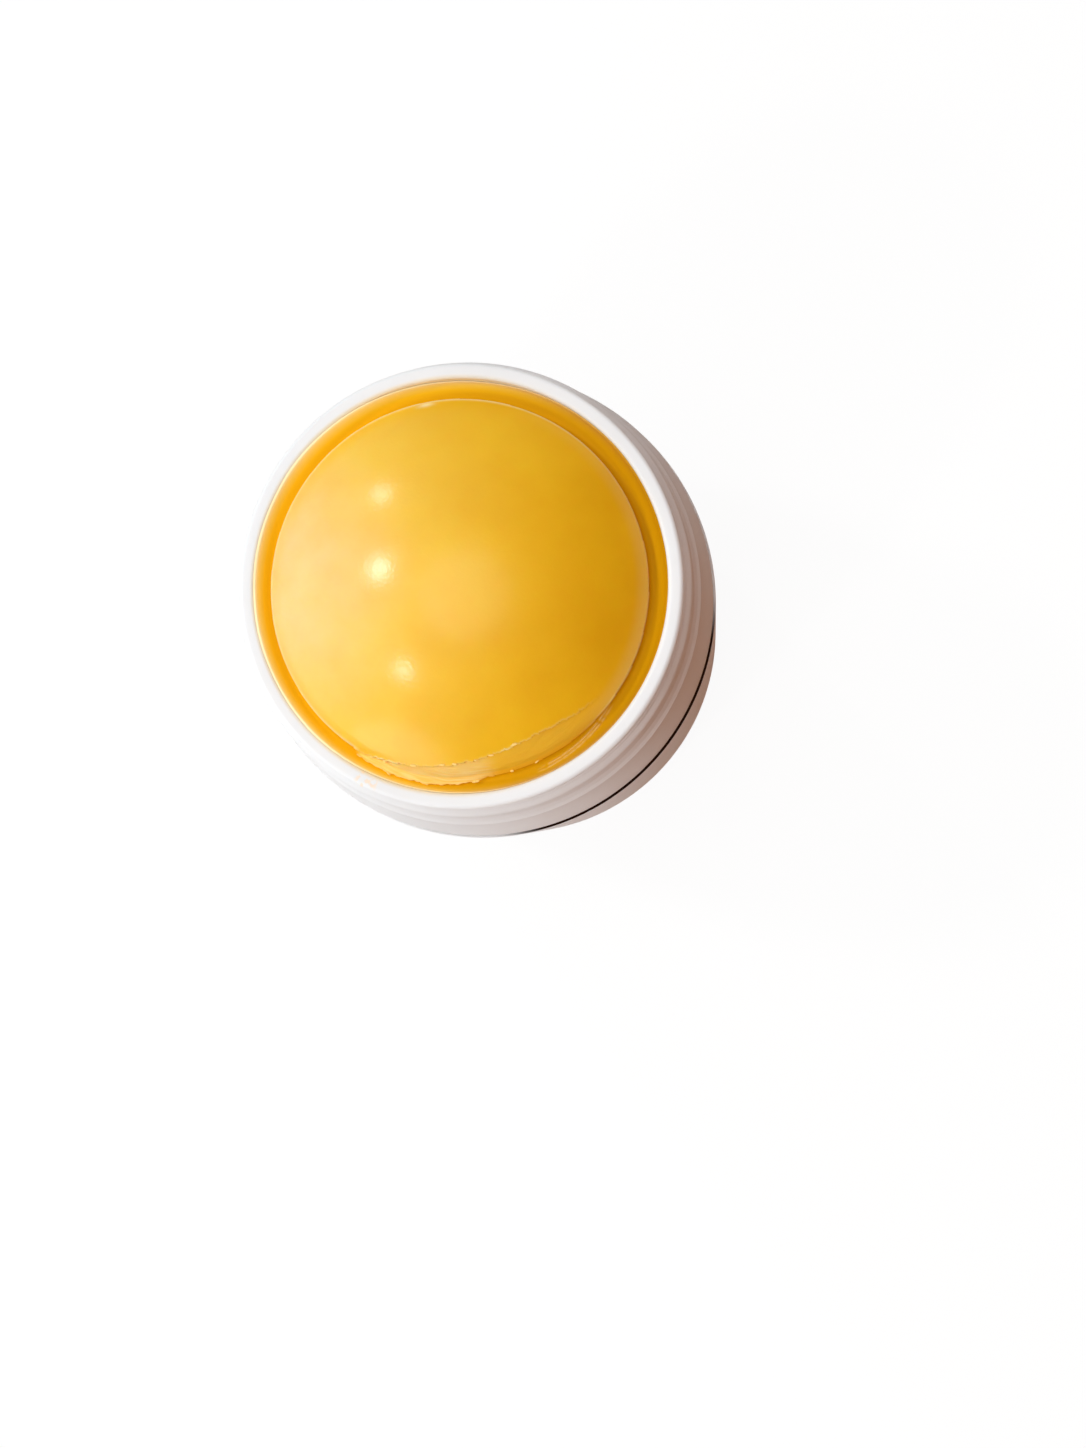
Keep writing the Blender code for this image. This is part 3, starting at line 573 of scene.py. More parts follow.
def make_knob():
    wall = KNOB_CREST - RIB_STAND
    ring_bore = TUBE_RADIUS - TAIL_RELIEF + FIT_GAP
    ring_radius = SLEEVE_BORE - FIT_GAP
    floor_top = TAIL_BOTTOM - FIT_GAP
    floor_bottom = floor_top - KNOB_FLOOR
    hub_top = floor_top + HUB_HEIGHT
    bead = floor_top + BEAD_LIFT
    groove = ring_bore + BEAD_STAND
    groove_half = BEAD_HEIGHT / 2.0 + FIT_GAP
    disc_seat = DISC_RADIUS + FIT_GAP
    seat_top = DISC_TOP + FIT_GAP
    corners = [
        (SOCKET_RADIUS, hub_top, EDGE_ROUND),
        (HUB_RADIUS, hub_top, KNOB_ROUND),
        (HUB_RADIUS, floor_top, HOLLOW_ROUND),
        (ring_bore, floor_top),
        (ring_bore, bead - groove_half),
        (groove, bead - groove_half / 2.0),
        (groove, bead + groove_half),
        (ring_bore, bead + groove_half),
        (ring_bore, RING_TOP, EDGE_ROUND),
        (ring_radius, RING_TOP, EDGE_ROUND),
        (ring_radius, KNOB_HEIGHT, HOLLOW_ROUND),
        (wall, KNOB_HEIGHT, KNOB_ROUND),
    ]
    for step in range(1, KNOB_RISES):
        corners.append((wall, KNOB_HEIGHT * (1.0 - step / KNOB_RISES)))
    corners += [
        (wall, 0.0, KNOB_ROUND),
        (disc_seat, 0.0, EDGE_ROUND),
        (disc_seat, seat_top),
        (disc_seat - SEAT_LEDGE, seat_top),
        (disc_seat - SEAT_LEDGE, floor_bottom),
        (SOCKET_RADIUS, floor_bottom, EDGE_ROUND),
    ]
    return turned("knob_shell", outline(corners, True), KNOB_SEGMENTS, True, ribbed)


def make_base_disc():
    corners = [
        (0.0, DISC_TOP),
        (DISC_RADIUS, DISC_TOP, EDGE_ROUND),
        (DISC_RADIUS, DISC_BOTTOM, DISC_ROUND),
        (DISC_RADIUS - DISC_RIM_WIDTH, DISC_BOTTOM, DISC_ROUND),
        (DISC_RADIUS - DISC_RIM_WIDTH - DISC_RIM_SLOPE, DISC_BOTTOM + DISC_DISH, DISC_ROUND),
        (0.0, DISC_BOTTOM + DISC_DISH),
    ]
    return turned("disc_plate", outline(corners, False), SEGMENTS, False)


# The balm's face is a height over the circle: dome, worn place, gutter and film
def spot_noise(radius, angle, length, seed=0.0):
    return noise.noise(Vector((radius * math.cos(angle) / length, radius * math.sin(angle) / length, seed)))


def dome_edge(angle):
    """Distance from the stick's axis to the edge of the dome, which stands a little off the axis."""
    away = angle - DOME_SHIFT_TURN
    return DOME_SHIFT * math.cos(away) + math.sqrt(DOME_RADIUS ** 2 - (DOME_SHIFT * math.sin(away)) ** 2)


def dome_height(radius, angle):
    """The dome's sphere, which runs on outwards as a plain slope."""
    rise = DOME_TOP - LIP_HEIGHT + DOME_EDGE_DEPTH
    sphere = (DOME_RADIUS ** 2 + rise ** 2) / (2.0 * rise)
    away = angle - DOME_SHIFT_TURN
    middle = math.hypot(radius - DOME_SHIFT * math.cos(away), DOME_SHIFT * math.sin(away))
    inside = min(middle, DOME_RADIUS)
    return DOME_TOP - sphere + math.sqrt(sphere ** 2 - inside ** 2) - SHEET_SLOPE * (middle - inside)


def film_share(radius, angle):
    """How far the film has climbed the bore, from 0 on the gutter's floor to 1 at its own upper edge."""
    foot = dome_edge(angle) + GUTTER_ROUND
    share = (radius - foot) / (COLUMN_RADIUS - FILM_WALL - foot)
    return 1.0 - math.sqrt(1.0 - min(1.0, max(0.0, share)) ** 2)


def gutter_height(radius, angle):
    floor = LIP_HEIGHT - GUTTER_DEPTH
    foot = dome_edge(angle) + GUTTER_ROUND
    if radius < foot:
        share = min(1.0, (foot - radius) / GUTTER_ROUND)
        return floor + GUTTER_ROUND * (1.0 - math.sqrt(1.0 - share * share))
    dip = FILM_DIP * math.exp(-(((angle - FILM_DIP_TURN) / FILM_DIP_SPREAD) ** 2))
    sway = FILM_TOP_SWAY * spot_noise(BORE_RADIUS, angle, WAVE_LENGTH, FILM_SEED)
    fall = FILM_FALL * max(0.0, math.cos(angle - FILM_FALL_TURN))
    top = LIP_HEIGHT - FILM_TOP_DEPTH - dip - fall + sway
    return floor + (top - floor) * film_share(radius, angle)


def bore_reach(height):
    """How far out the balm stands at a height: up the bore, then out over the lip's inner rounding."""
    above = max(0.0, height - LIP_HEIGHT + LIP_INNER_ROUND)
    return BORE_RADIUS + LIP_INNER_ROUND - math.sqrt(LIP_INNER_ROUND ** 2 - above ** 2) - COLUMN_GAP


def worn_line(angle):
    """The middle of the ragged line across the worn place."""
    reach = WORN_REACH_LEFT if angle < WORN_TURN else WORN_REACH_RIGHT
    away = reach * (angle - WORN_TURN)
    return WORN_INNER + math.sqrt(WORN_EASE ** 2 + away ** 2) - WORN_EASE


def sheet_edge(angle):
    """Where the dome's upper layer ends: at its own edge, or on the ragged line of the worn place."""
    if not WORN_START < angle < WORN_END:
        return dome_edge(angle)
    line = worn_line(angle)
    rag = spot_noise(line, angle, RAG_LENGTH, RAG_SEED)
    rag += FINE_RAG_SHARE * spot_noise(line, angle, FINE_RAG_LENGTH, FINE_RAG_SEED)
    return line + WORN_RAG * rag


def flake_line(angle):
    """The middle of the outer edge of the balm that was pushed into the gutter."""
    fall = FLAKE_FALL_LEFT if angle < FLAKE_MIDDLE else FLAKE_FALL_RIGHT
    return FLAKE_RADIUS - fall * (angle - FLAKE_MIDDLE) ** 2


def flake_edge(angle):
    """Where the balm that was pushed into the gutter ends."""
    if not FLAKE_START < angle < FLAKE_END:
        return dome_edge(angle)
    rag = spot_noise(FLAKE_RADIUS, angle, RAG_LENGTH, FLAKE_SEED)
    return max(dome_edge(angle), flake_line(angle) + WORN_RAG * rag)


def fade_in(angle, start, end, first, last):
    return smooth_step(start, start + first, angle) * (1.0 - smooth_step(end - last, end, angle))


def rim_painted_light(angle, rim, worn):
    """A painted highlight line on the dome's edge, weaker on the right, and a painted paler band inside it
    on the right, which the worn place lacks.
    """
    facing = max(0.0, math.cos(angle - EDGE_GLOW_TURN))
    line = (1.0 - EDGE_HIGHLIGHT_FALL * facing) * math.exp(-((rim / EDGE_HIGHLIGHT) ** 2))
    edge_glow = EDGE_GLOW_SHARE * facing * (1.0 - smooth_step(0.0, EDGE_GLOW_BAND, rim))
    return max(line, edge_glow) * (1.0 - worn)


def sheet_face(radius, angle, edge, worn):
    """The dome's upper layer with the burr on its ragged edge, a nick, and a painted highlight and paler
    band on its rim.
    """
    height = dome_height(radius, angle) + DOME_WAVE * spot_noise(radius, angle, WAVE_LENGTH)
    rim = dome_edge(angle) - radius
    height -= max(0.0, DOME_ROUND - rim) ** 2 / (2.0 * DOME_ROUND) * (1.0 - worn)
    burr = worn * math.exp(-(((edge - radius) / BURR_WIDTH) ** 2))
    strong = smooth_step(0.0, BURR_FULL, spot_noise(radius, angle, STREAK_LENGTH, BURR_SEED))
    burr *= BURR_LEAST + (1.0 - BURR_LEAST) * strong
    height += BURR_STAND * burr
    along = NICK_RADIUS * (angle - NICK_ANGLE) / NICK_LENGTH
    across = (radius - NICK_RADIUS) / NICK_WIDTH
    nick = math.exp(-(along ** 2) - across ** 2)
    return height - NICK_DEPTH * nick, max(burr, nick, rim_painted_light(angle, rim, worn)), 0.0


def worn_face(radius, angle, outer, worn):
    """The scraped layer below the ragged line and the balm pushed from it into the gutter."""
    inner = worn_line(angle)
    share = min(1.0, max(0.0, (radius - inner) / max(flake_line(angle) - inner, BURR_WIDTH)))
    sway = WORN_RAG * spot_noise(radius, angle, STREAK_LENGTH, SWAY_SEED)
    spot = (angle * radius / STREAK_LENGTH, (radius + sway) / STREAK_WIDTH, STREAK_SEED)
    streak = noise.noise(Vector(spot))
    height = dome_height(radius, angle) - WORN_DEPTH * worn * (1.0 + share) + STREAK_STAND * streak * worn
    height -= worn * max(0.0, WORN_ROUND - outer + radius) ** 2 / (2.0 * WORN_ROUND)
    pushed = fade_in(angle, FLAKE_START, FLAKE_END, WORN_FADE_START, FLAKE_FADE)
    start = dome_height(inner, angle) - 2.0 * WORN_DEPTH
    crest = gutter_height(FLAKE_RADIUS, angle) + FLAKE_STAND
    flake = start + (crest - start) * share + 2.0 * STREAK_STAND * streak
    height += (flake - height) * pushed
    streaked = smooth_step(-STREAK_CONTRAST, STREAK_CONTRAST, streak)
    pale = pushed * (FLAKE_PALENESS + STREAK_PALENESS * share * streaked)
    rim = rim_painted_light(angle, dome_edge(angle) - radius, worn) if radius < dome_edge(angle) else 0.0
    return max(height, gutter_height(radius, angle)), max(pale, rim), worn


def balm_face(radius, angle):
    """Height, paleness and wear of the balm's face; the paleness also carries the painted highlight and
    paler band at the dome's edge.
    """
    edge = sheet_edge(angle)
    worn = fade_in(angle, WORN_START, WORN_END, WORN_FADE_START, WORN_FADE_END)
    if radius <= edge:
        return sheet_face(radius, angle, edge, worn)
    outer = flake_edge(angle)
    if WORN_START < angle < WORN_END and radius <= outer:
        return worn_face(radius, angle, outer, worn)
    ridge = 0.0
    if RIDGE_START < angle < RIDGE_END:
        crest = RIDGE_RADIUS - RIDGE_FALL * (angle - RIDGE_START) ** 2
        for offset in (0.0, RIDGE_SPACING):
            ridge += math.exp(-(((radius - crest + offset) / RIDGE_WIDTH) ** 2))
        ridge *= fade_in(angle, RIDGE_START, RIDGE_END, RIDGE_FADE, RIDGE_FADE)
        ridge *= smooth_step(RIDGE_BREAK_START, RIDGE_BREAK_END, spot_noise(radius, angle, RAG_LENGTH))
    return gutter_height(radius, angle) + RIDGE_STAND * ridge, RIDGE_PALENESS * ridge, 0.0


def face_rings():
    """Radii of the face's rings, close together from the worn place outwards."""
    count = round(FINE_START / COARSE_RING)
    radii = [FINE_START * step / count for step in range(1, count + 1)]
    width = COLUMN_RADIUS - FINE_START
    count = round(width / FINE_RING)
    return radii + [FINE_START + width * step / count for step in range(1, count + 1)]


def make_balm():
    vertices = [(0.0, 0.0, DOME_TOP)]
    paleness = [0.0]
    wear = [0.0]
    climb = [0.0]
    angles = [2.0 * math.pi * step / BALM_SEGMENTS - math.pi for step in range(BALM_SEGMENTS)]
    turns = [(math.cos(angle), math.sin(angle)) for angle in angles]
    tops = []
    for radius in face_rings():
        for angle, (cosine, sine) in zip(angles, turns):
            height, pale, worn = balm_face(radius, angle)
            reach = radius
            if radius > COLUMN_RADIUS - FINE_RING / 2.0:
                reach = bore_reach(height)
                tops.append(height)
            vertices.append((reach * cosine, reach * sine, height))
            paleness.append(pale)
            wear.append(worn)
            climb.append(film_share(radius, angle))
    face_share = [1.0] * len(paleness)
    for share in FILM_EDGE_SHARES:
        for top, (cosine, sine) in zip(tops, turns):
            foot = min(top, LIP_HEIGHT - LIP_INNER_ROUND) - FILM_WALL
            height = foot + (top - foot) * share
            reach = bore_reach(height)
            vertices.append((reach * cosine, reach * sine, height))
    below = [
        (COLUMN_RADIUS, SKIRT_TOP + FIT_GAP),
        (SKIRT_BORE - FIT_GAP, SKIRT_TOP + FIT_GAP),
        (SKIRT_BORE - FIT_GAP, PLATFORM_TOP + FIT_GAP),
        (BOSS_RADIUS + FIT_GAP, PLATFORM_TOP + FIT_GAP),
        (BOSS_RADIUS + FIT_GAP, BOSS_TOP + FIT_GAP),
        (CHANNEL_RADIUS, BOSS_TOP + FIT_GAP),
        (CHANNEL_RADIUS, SPINDLE_TOP + FIT_GAP),
    ]
    for radius, height in below:
        vertices += [(radius * cosine, radius * sine, height) for cosine, sine in turns]
    rings = (len(vertices) - 1) // BALM_SEGMENTS
    last = len(vertices)
    vertices.append((0.0, 0.0, SPINDLE_TOP + FIT_GAP))
    faces = []
    for step in range(BALM_SEGMENTS):
        ahead = (step + 1) % BALM_SEGMENTS
        faces.append((0, 1 + step, 1 + ahead))
        for ring in range(rings - 1):
            upper = 1 + ring * BALM_SEGMENTS
            lower = upper + BALM_SEGMENTS
            faces.append((upper + step, lower + step, lower + ahead, upper + ahead))
        faces.append((last - BALM_SEGMENTS + step, last, last - BALM_SEGMENTS + ahead))
    balm = mesh_object("balm_column", vertices, faces)
    # paleness holds the pale burr, nick, flake, streaks and ridges, and also the painted highlight and
    # paler band at the dome's edge
    measures = {"paleness": paleness, "wear": wear, "climb": climb, "face_share": face_share}
    for label, values in measures.items():
        attribute = balm.data.attributes.new(label, "FLOAT", "POINT")
        attribute.data.foreach_set("value", values + [0.0] * (len(vertices) - len(values)))
    return balm


def make_crumbs():
    """Small pale crumbs on the ragged line and on the balm pushed into the gutter."""
    dice = random.Random(CRUMB_SEED)
    mesh = bmesh.new()
    for index in range(CRUMB_COUNT):
        angle = FLAKE_START + (WORN_TURN - FLAKE_START) * (index + dice.random()) / CRUMB_COUNT
        on_line = index % 3 > 0
        radius = sheet_edge(angle) if on_line else flake_edge(angle)
        size = CRUMB_SIZE * dice.uniform(*CRUMB_SIZE_SHARES)
        stretch = Matrix.Diagonal((dice.uniform(*CRUMB_LENGTH_SHARES), 1.0, CRUMB_HEIGHT_SHARE, 1.0))
        swing = dice.uniform(-CRUMB_SWING, CRUMB_SWING)
        turn = Matrix.Rotation(angle + math.pi / 2.0 + swing, 4, "Z")
        height = balm_face(radius - FINE_RING, angle)[0]
        place = Matrix.Translation((radius * math.cos(angle), radius * math.sin(angle), height))
        ball = bmesh.ops.create_icosphere(mesh, subdivisions=3, radius=size, matrix=place @ turn @ stretch)
        for vertex in ball["verts"]:
            vertex.co += CRUMB_DENT_SHARE * size * noise.noise_vector(vertex.co / size)
    data = bpy.data.meshes.new("balm_crumbs")
    mesh.to_mesh(data)
    mesh.free()
    data.shade_smooth()
    crumbs = bpy.data.objects.new("balm_crumbs", data)
    bpy.context.scene.collection.objects.link(crumbs)
    return crumbs


# Materials
def new_material(name):
    material = bpy.data.materials.new(name)
    material.use_nodes = True
    tree = material.node_tree
    return material, tree, tree.nodes["Principled BSDF"]


def feed(tree, socket, value):
    """Links a socket's value, sets any other."""
    if isinstance(value, bpy.types.NodeSocket):
        tree.links.new(value, socket)
    else:
        socket.default_value = value


def add_node(tree, kind, **values):
    node = tree.nodes.new(kind)
    for label, value in values.items():
        feed(tree, node.inputs[label.replace("_", " ")], value)
    return node


def noise_field(tree, place, scale, detail=NOISE_DETAIL):
    return add_node(tree, "ShaderNodeTexNoise", Vector=place, Scale=scale, Detail=detail).outputs["Fac"]


def ramp(tree, value, stops):
    node = add_node(tree, "ShaderNodeValToRGB", Fac=value)
    elements = node.color_ramp.elements
    while len(elements) < len(stops):
        elements.new(0.5)
    for element, (position, colour) in zip(elements, stops):
        element.position = position
        element.color = (*colour, 1.0)
    return node.outputs["Color"]


def mottle(tree, value, dark, light):
    """Colours a noise value."""
    return ramp(tree, value, [(NOISE_LOW, dark), (NOISE_HIGH, light)])


def spread(tree, value, low, high):
    """Maps a noise value onto a range."""
    node = add_node(tree, "ShaderNodeMapRange", Value=value)
    node.inputs["From Min"].default_value = NOISE_LOW
    node.inputs["From Max"].default_value = NOISE_HIGH
    node.inputs["To Min"].default_value = low
    node.inputs["To Max"].default_value = high
    return node.outputs["Result"]


def band(tree, value, low, high):
    """Rises smoothly from 0 at low to 1 at high; with low above high it falls."""
    node = add_node(tree, "ShaderNodeMapRange", Value=value)
    node.interpolation_type = "SMOOTHSTEP"
    node.inputs["From Min"].default_value = low
    node.inputs["From Max"].default_value = high
    return node.outputs["Result"]


def calculate(tree, operation, *values):
    node = tree.nodes.new("ShaderNodeMath")
    node.operation = operation
    for socket, value in zip(node.inputs, values):
        feed(tree, socket, value)
    return node.outputs[0]


def product(tree, first, *others):
    for other in others:
        first = calculate(tree, "MULTIPLY", first, other)
    return first


def measure(tree, operation, first, second=None):
    """A vector's length, or its dot product with or distance from another."""
    node = tree.nodes.new("ShaderNodeVectorMath")
    node.operation = operation
    feed(tree, node.inputs[0], first)
    if second is not None:
        feed(tree, node.inputs[1], second)
    return node.outputs["Value"]


def blend(tree, share, first, second):
    node = tree.nodes.new("ShaderNodeMix")
    node.data_type = "RGBA"
    sockets = [socket for socket in node.inputs if socket.enabled]
    for socket, value in zip(sockets, (share, first, second)):
        feed(tree, socket, (*value, 1.0) if isinstance(value, tuple) else value)
    return next(socket for socket in node.outputs if socket.enabled)


def bump(tree, height, distance, normal=None):
    node = add_node(tree, "ShaderNodeBump", Height=height, Distance=distance)
    if normal:
        tree.links.new(normal, node.inputs["Normal"])
    return node.outputs["Normal"]


def object_place(tree):
    return tree.nodes.new("ShaderNodeTexCoord").outputs["Object"]


def mesh_value(tree, label):
    """A value that the balm's mesh holds for each of its points."""
    node = tree.nodes.new("ShaderNodeAttribute")
    node.attribute_name = label
    return node.outputs["Fac"]


def radius_and_height(tree, place):
    axes = add_node(tree, "ShaderNodeSeparateXYZ", Vector=place)
    flat = add_node(tree, "ShaderNodeCombineXYZ", X=axes.outputs["X"], Y=axes.outputs["Y"])
    return measure(tree, "LENGTH", flat.outputs[0]), axes.outputs["Z"]


def white_plastic():
    """White moulding: painted shade darkens the parting seam on one side, and the lip holds a smear and a
    trace of balm.
    """
    material, tree, shader = new_material("white_polypropylene")
    place = object_place(tree)
    radius, height = radius_and_height(tree, place)
    mapping = add_node(tree, "ShaderNodeMapping", Vector=place, Scale=(1.0, 1.0, MOULD_STRETCH))
    drawn = mapping.outputs["Vector"]
    colour = mottle(tree, noise_field(tree, drawn, MOULD_CLOUDS), *PLASTIC_COLOURS)
    seam_top = LIP_HEIGHT - COLLAR_HEIGHT
    seam_foot = seam_top - PARTING_GAP - SEAM_REACH
    seam_facing = measure(tree, "DOT_PRODUCT", place, SEAM_SIDE)
    # Painted shade: the faces in and around the parting gap are coloured dark on the side towards
    # SEAM_SIDE, standing in for the gap's shadow
    seam = product(
        tree,
        band(tree, height, seam_foot, seam_foot + SEAM_REACH / 2.0),
        band(tree, height, seam_top + SEAM_REACH, seam_top + SEAM_REACH / 2.0),
        band(tree, radius, COLLAR_RADIUS - SEAM_EDGE / 2.0, COLLAR_RADIUS - SEAM_EDGE),
        band(tree, seam_facing, SEAM_END * COLLAR_RADIUS, SEAM_START * COLLAR_RADIUS),
    )
    colour = blend(tree, seam, colour, SEAM_SHADE_COLOUR)
    streaks = band(tree, noise_field(tree, place, SMEAR_STREAKS), SMEAR_START, SMEAR_END)
    near = band(tree, measure(tree, "DISTANCE", place, SMEAR_PLACE), SMEAR_REACH, SMEAR_REACH / 2.0)
    colour = blend(tree, product(tree, streaks, near), colour, SMEAR_COLOUR)
    toward_shaded_side = measure(tree, "DOT_PRODUCT", place, SHADED_SIDE)
    stain = product(
        tree,
        band(tree, radius, STAIN_END, BORE_RADIUS),
        STAIN_SHARE,
        band(tree, toward_shaded_side, BORE_RADIUS / 2.0, -BORE_RADIUS / 2.0),
        band(tree, height, LIP_HEIGHT - LIP_BAND, LIP_HEIGHT - LIP_INNER_ROUND),
    )
    colour = blend(tree, stain, colour, STAIN_COLOUR)
    tree.links.new(colour, shader.inputs["Base Color"])
    rough = spread(tree, noise_field(tree, drawn, MOULD_GLOSS_SPOTS), *PLASTIC_ROUGHNESS)
    tree.links.new(rough, shader.inputs["Roughness"])
    wave = bump(tree, noise_field(tree, drawn, MOULD_WAVES, MOULD_WAVE_DETAIL), MOULD_WAVE_STAND)
    grain = bump(tree, noise_field(tree, drawn, MOULD_GRAIN), MOULD_GRAIN_STAND, wave)
    tree.links.new(grain, shader.inputs["Normal"])
    lip = band(tree, height, LIP_HEIGHT - LIP_BAND, LIP_HEIGHT - LIP_BAND / 2.0)
    gloss = calculate(tree, "MULTIPLY_ADD", lip, LIP_GLOSS, WALL_GLOSS)
    tree.links.new(gloss, shader.inputs["Specular IOR Level"])
    shader.inputs["Subsurface Weight"].default_value = PLASTIC_SCATTER
    shader.inputs["Subsurface Radius"].default_value = PLASTIC_SCATTER_RADIUS
    shader.inputs["Subsurface Scale"].default_value = PLASTIC_SCATTER_SCALE
    return material


def balm_wax():
    """Waxy golden balm: deeper in the gutter, paler where its film thins out and where it is scraped;
    painted sheen pales the wax towards the left, painted shade darkens the film on the right, a painted
    glow lights the film on the left, and a painted highlight lines the dome's edge.
    """
    material, tree, shader = new_material("balm_wax")
    place = object_place(tree)
    radius, height = radius_and_height(tree, place)
    colour = mottle(tree, noise_field(tree, place, WAX_CLOUDS, WAX_DETAIL), *WAX_COLOURS)
    # Painted sheen: paler wax towards the lit left side, which also raises the coat there
    painted_sheen = band(tree, measure(tree, "DISTANCE", place, PAINTED_SHEEN_PLACE), PAINTED_SHEEN_REACH, 0.0)
    patches = noise_field(tree, place, PAINTED_SHEEN_PATCHES, WAX_DETAIL)
    patches = spread(tree, patches, PAINTED_SHEEN_SHARE - PAINTED_SHEEN_SWAY, PAINTED_SHEEN_SHARE + PAINTED_SHEEN_SWAY)
    colour = blend(tree, product(tree, painted_sheen, patches), colour, ramp(tree, painted_sheen, PAINTED_SHEEN_COLOURS))
    climb = mesh_value(tree, "climb")
    # Painted shade: the film is coloured deep orange towards the dim right side
    film_shade = measure(tree, "DOT_PRODUCT", place, SHADED_SIDE)
    film_shade = band(tree, film_shade, SHADE_START_SHARE * BORE_RADIUS, BORE_RADIUS)
    film_lit = calculate(tree, "SUBTRACT", 1.0, film_shade)
    film_shade = product(tree, film_shade, calculate(tree, "SUBTRACT", 1.0, product(tree, film_lit, climb)))
    film = blend(tree, film_shade, ramp(tree, climb, FILM_COLOURS), PAINTED_SHADE_FILM_COLOUR)
    edge = LIP_HEIGHT - DOME_EDGE_DEPTH
    wall = band(tree, radius, FILM_START, FILM_START + FILM_REACH)
    low = band(tree, height, edge - EDGE_FADE, edge - 2.0 * EDGE_FADE)
    outside = product(tree, calculate(tree, "MAXIMUM", low, wall), mesh_value(tree, "face_share"))
    colour = blend(tree, outside, colour, film)
    worn = mesh_value(tree, "wear")
    colour = blend(tree, worn, colour, WORN_COLOUR)
    # paleness: pale burr, flake and streaks, plus the painted highlight and paler band at the dome's edge
    colour = blend(tree, mesh_value(tree, "paleness"), colour, PALE_AND_HIGHLIGHT_COLOUR)
    tree.links.new(colour, shader.inputs["Base Color"])
    # Painted glow: the film emits on its lit left side
    tree.links.new(film, shader.inputs["Emission Color"])
    tree.links.new(product(tree, outside, film_lit, PAINTED_FILM_GLOW), shader.inputs["Emission Strength"])
    rough = spread(tree, noise_field(tree, place, WAX_GLOSS_SPOTS), *WAX_ROUGHNESS)
    rough = calculate(tree, "MULTIPLY_ADD", worn, WORN_ROUGHNESS, rough)
    tree.links.new(rough, shader.inputs["Roughness"])
    wave = bump(tree, noise_field(tree, place, WAX_WAVES, WAX_WAVE_DETAIL), WAX_WAVE_STAND)
    grain = bump(tree, noise_field(tree, place, WAX_GRAIN), WAX_GRAIN_STAND, wave)
    tree.links.new(grain, shader.inputs["Normal"])
    tree.links.new(grain, shader.inputs["Coat Normal"])
    solid = calculate(tree, "SUBTRACT", 1.0, outside)
    gloss = calculate(tree, "MULTIPLY_ADD", solid, WAX_GLOSS, FILM_GLOSS)
    tree.links.new(gloss, shader.inputs["Specular IOR Level"])
    sheen = calculate(tree, "MULTIPLY_ADD", painted_sheen, COAT_SHARE, COAT_LEAST)
    tree.links.new(product(tree, solid, sheen), shader.inputs["Coat Weight"])
    tree.links.new(product(tree, solid, WAX_SCATTER), shader.inputs["Subsurface Weight"])
    shader.inputs["Coat Roughness"].default_value = COAT_ROUGHNESS
    shader.inputs["Subsurface Radius"].default_value = WAX_SCATTER_RADIUS
    shader.inputs["Subsurface Scale"].default_value = WAX_SCATTER_SCALE
    shader.inputs["IOR"].default_value = WAX_IOR
    return material


def moulded(name, dark, light, rough_low, rough_high, metallic=0.0, stretch=1.0):
    """A plain material with mottled colour, uneven gloss and a fine moulded or rolled grain."""
    material, tree, shader = new_material(name)
    mapping = add_node(tree, "ShaderNodeMapping", Vector=object_place(tree), Scale=(1.0, 1.0, stretch))
    place = mapping.outputs["Vector"]
    colour = mottle(tree, noise_field(tree, place, INNER_CLOUDS), dark, light)
    tree.links.new(colour, shader.inputs["Base Color"])
    rough = spread(tree, noise_field(tree, place, INNER_GLOSS_SPOTS), rough_low, rough_high)
    tree.links.new(rough, shader.inputs["Roughness"])
    grain = bump(tree, noise_field(tree, place, INNER_GRAIN), INNER_GRAIN_STAND)
    tree.links.new(grain, shader.inputs["Normal"])
    shader.inputs["Metallic"].default_value = metallic
    return material


def dress(node, material):
    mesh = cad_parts[node].data
    mesh.materials.clear()
    mesh.materials.append(material)


def place_piece(piece, body, node, material):
    piece.data.materials.clear()
    piece.data.materials.append(material)
    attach(piece, body)
    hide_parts(node)


# Stage, lamps and camera
def shown_background(tree):
    """1 for the rays that see the background directly, in gloss or through glass."""
    path = tree.nodes.new("ShaderNodeLightPath")
    seen = calculate(tree, "MAXIMUM", path.outputs["Is Camera Ray"], path.outputs["Is Glossy Ray"])
    return calculate(tree, "MAXIMUM", seen, path.outputs["Is Transmission Ray"])


def make_world():
    """White where it is seen; its light is pale, but dim and warm from the right."""
    world = bpy.data.worlds.new("studio")
    bpy.context.scene.world = world
    world.use_nodes = True
    tree = world.node_tree
    background = tree.nodes["Background"]
    direction = tree.nodes.new("ShaderNodeTexCoord").outputs["Generated"]
    across = band(tree, measure(tree, "DOT_PRODUCT", direction, DIM_SIDE), DIM_START, DIM_END)
    horizon = blend(tree, across, LIT_HORIZON, DIM_HORIZON)
    up = measure(tree, "DOT_PRODUCT", direction, (0.0, 0.0, 1.0))
    light = blend(tree, band(tree, up, ZENITH_START, 1.0), horizon, ZENITH)
    colour = blend(tree, shown_background(tree), light, WHITE)
    tree.links.new(colour, background.inputs["Color"])


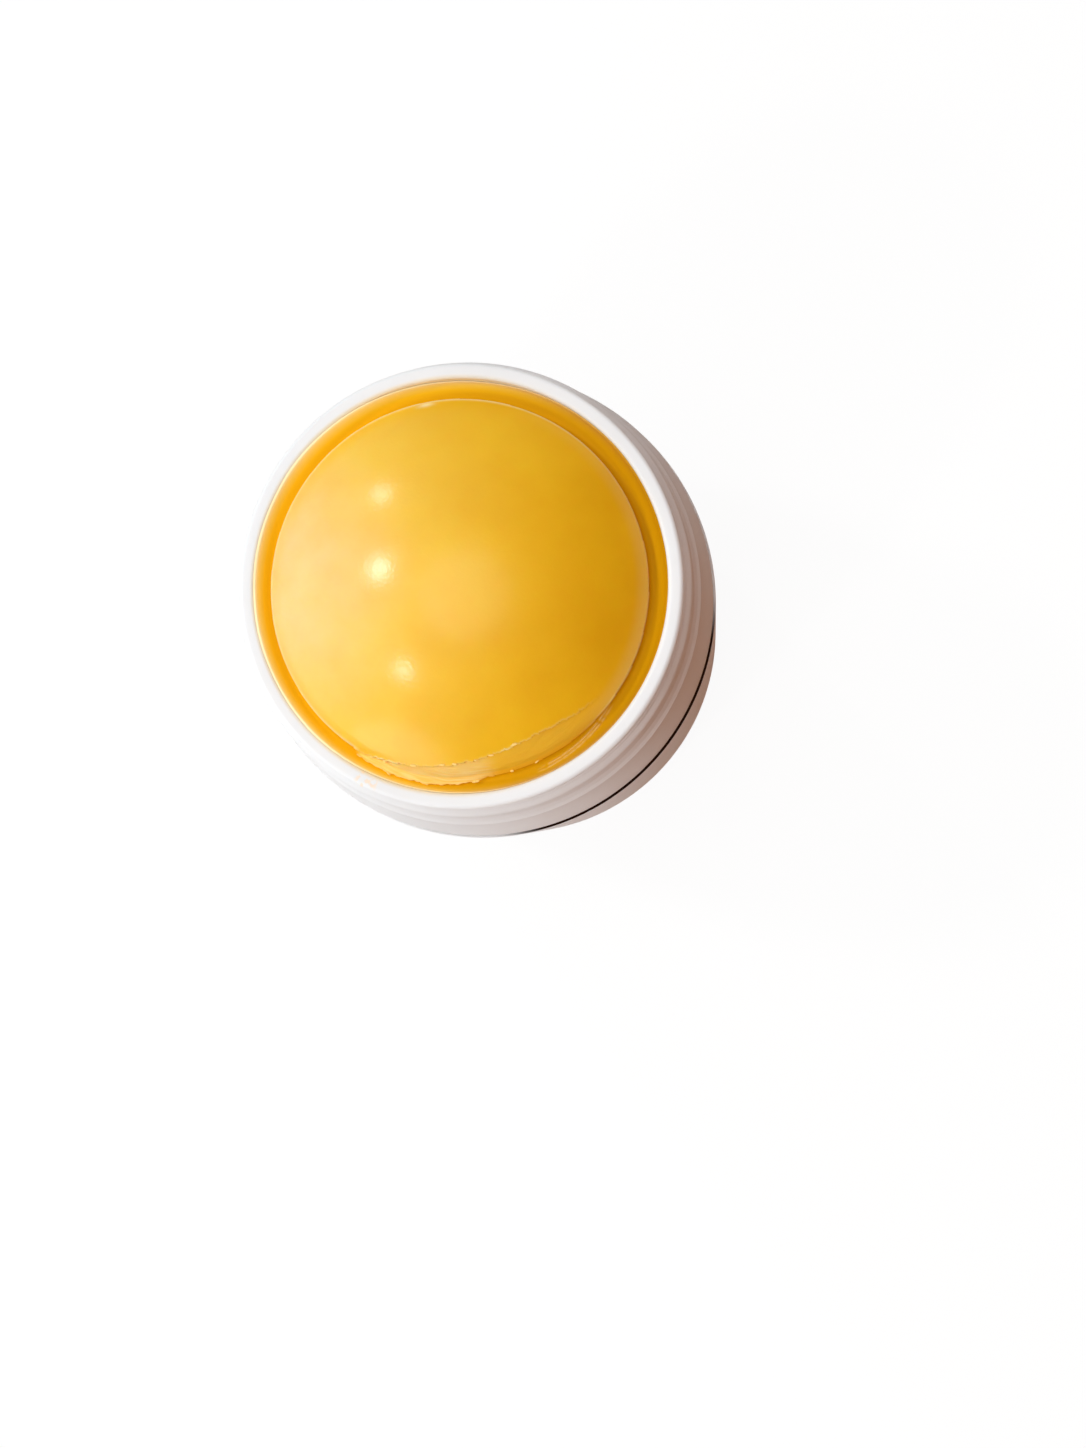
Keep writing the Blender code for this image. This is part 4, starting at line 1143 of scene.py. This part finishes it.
def make_floor():
    """White with a faint shadow where it is seen; its bounce is pale, but dim and warm on the right."""
    half = FLOOR_SIZE / 2.0
    corners = [(-half, -half, 0.0), (half, -half, 0.0), (half, half, 0.0), (-half, half, 0.0)]
    floor = mesh_object("floor", corners, [(0, 1, 2, 3)])
    material, tree, shader = new_material("pale_floor")
    tree.nodes.remove(shader)
    place = object_place(tree)
    along = measure(tree, "DOT_PRODUCT", place, DIM_SIDE)
    facing = calculate(tree, "DIVIDE", along, measure(tree, "LENGTH", place))
    across = band(tree, facing, DIM_START, DIM_END)
    bounce = add_node(tree, "ShaderNodeBsdfDiffuse", Color=blend(tree, across, LIT_BOUNCE, DIM_BOUNCE))
    seen = add_node(tree, "ShaderNodeBsdfDiffuse", Color=(*FLOOR_SHADE, 1.0))
    glow = add_node(tree, "ShaderNodeEmission", Color=(*WHITE, 1.0), Strength=FLOOR_GLOW)
    both = tree.nodes.new("ShaderNodeAddShader")
    tree.links.new(seen.outputs[0], both.inputs[0])
    tree.links.new(glow.outputs[0], both.inputs[1])
    mix = add_node(tree, "ShaderNodeMixShader", Fac=shown_background(tree))
    tree.links.new(bounce.outputs[0], mix.inputs[1])
    tree.links.new(both.outputs[0], mix.inputs[2])
    tree.links.new(mix.outputs[0], tree.nodes["Material Output"].inputs["Surface"])
    floor.data.materials.append(material)


def add_lamp(name, direction, width, power, colour):
    light = bpy.data.lights.new(name, "AREA")
    light.shape = "DISK"
    light.size = width
    light.energy = power
    light.color = colour
    lamp = bpy.data.objects.new(name, light)
    aim = Vector((0.0, 0.0, LIP_HEIGHT))
    away = Vector(direction).normalized()
    lamp.location = aim + away * LAMP_DISTANCE
    lamp.rotation_euler = away.to_track_quat("Z", "Y").to_euler()
    bpy.context.scene.collection.objects.link(lamp)


def make_camera():
    camera = bpy.data.objects.new("camera", bpy.data.cameras.new("camera"))
    camera.data.lens = CAMERA_LENS
    camera.data.sensor_width = SENSOR_WIDTH
    back = (CAMERA_PLACE - CAMERA_TARGET).normalized()
    right = Vector((0.0, 1.0, 0.0)).cross(back).normalized()
    turn = Matrix((right, back.cross(right), back)).transposed()
    camera.matrix_world = Matrix.Translation(CAMERA_PLACE) @ turn.to_4x4()
    bpy.context.scene.collection.objects.link(camera)
    bpy.context.scene.camera = camera


make_camera()
make_world()
make_floor()
for lamp_values in LAMPS:
    add_lamp(*lamp_values)

white = white_plastic()
place_piece(make_barrel(), "barrel", "barrel", white)
place_piece(make_sleeve(), "barrel", "outer_sleeve", white)
place_piece(make_knob(), "knob", "turn_knob", white)
place_piece(make_base_disc(), "knob", "base_disc", white)
place_piece(make_balm(), "carriage", "balm", balm_wax())

crumbs = make_crumbs()
crumbs.data.materials.append(moulded(*CRUMB_LOOK))
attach(crumbs, "carriage")

for node_name, look in INNER_LOOKS.items():
    dress(node_name, moulded(*look))

bpy.context.scene.view_settings.view_transform = "Standard"
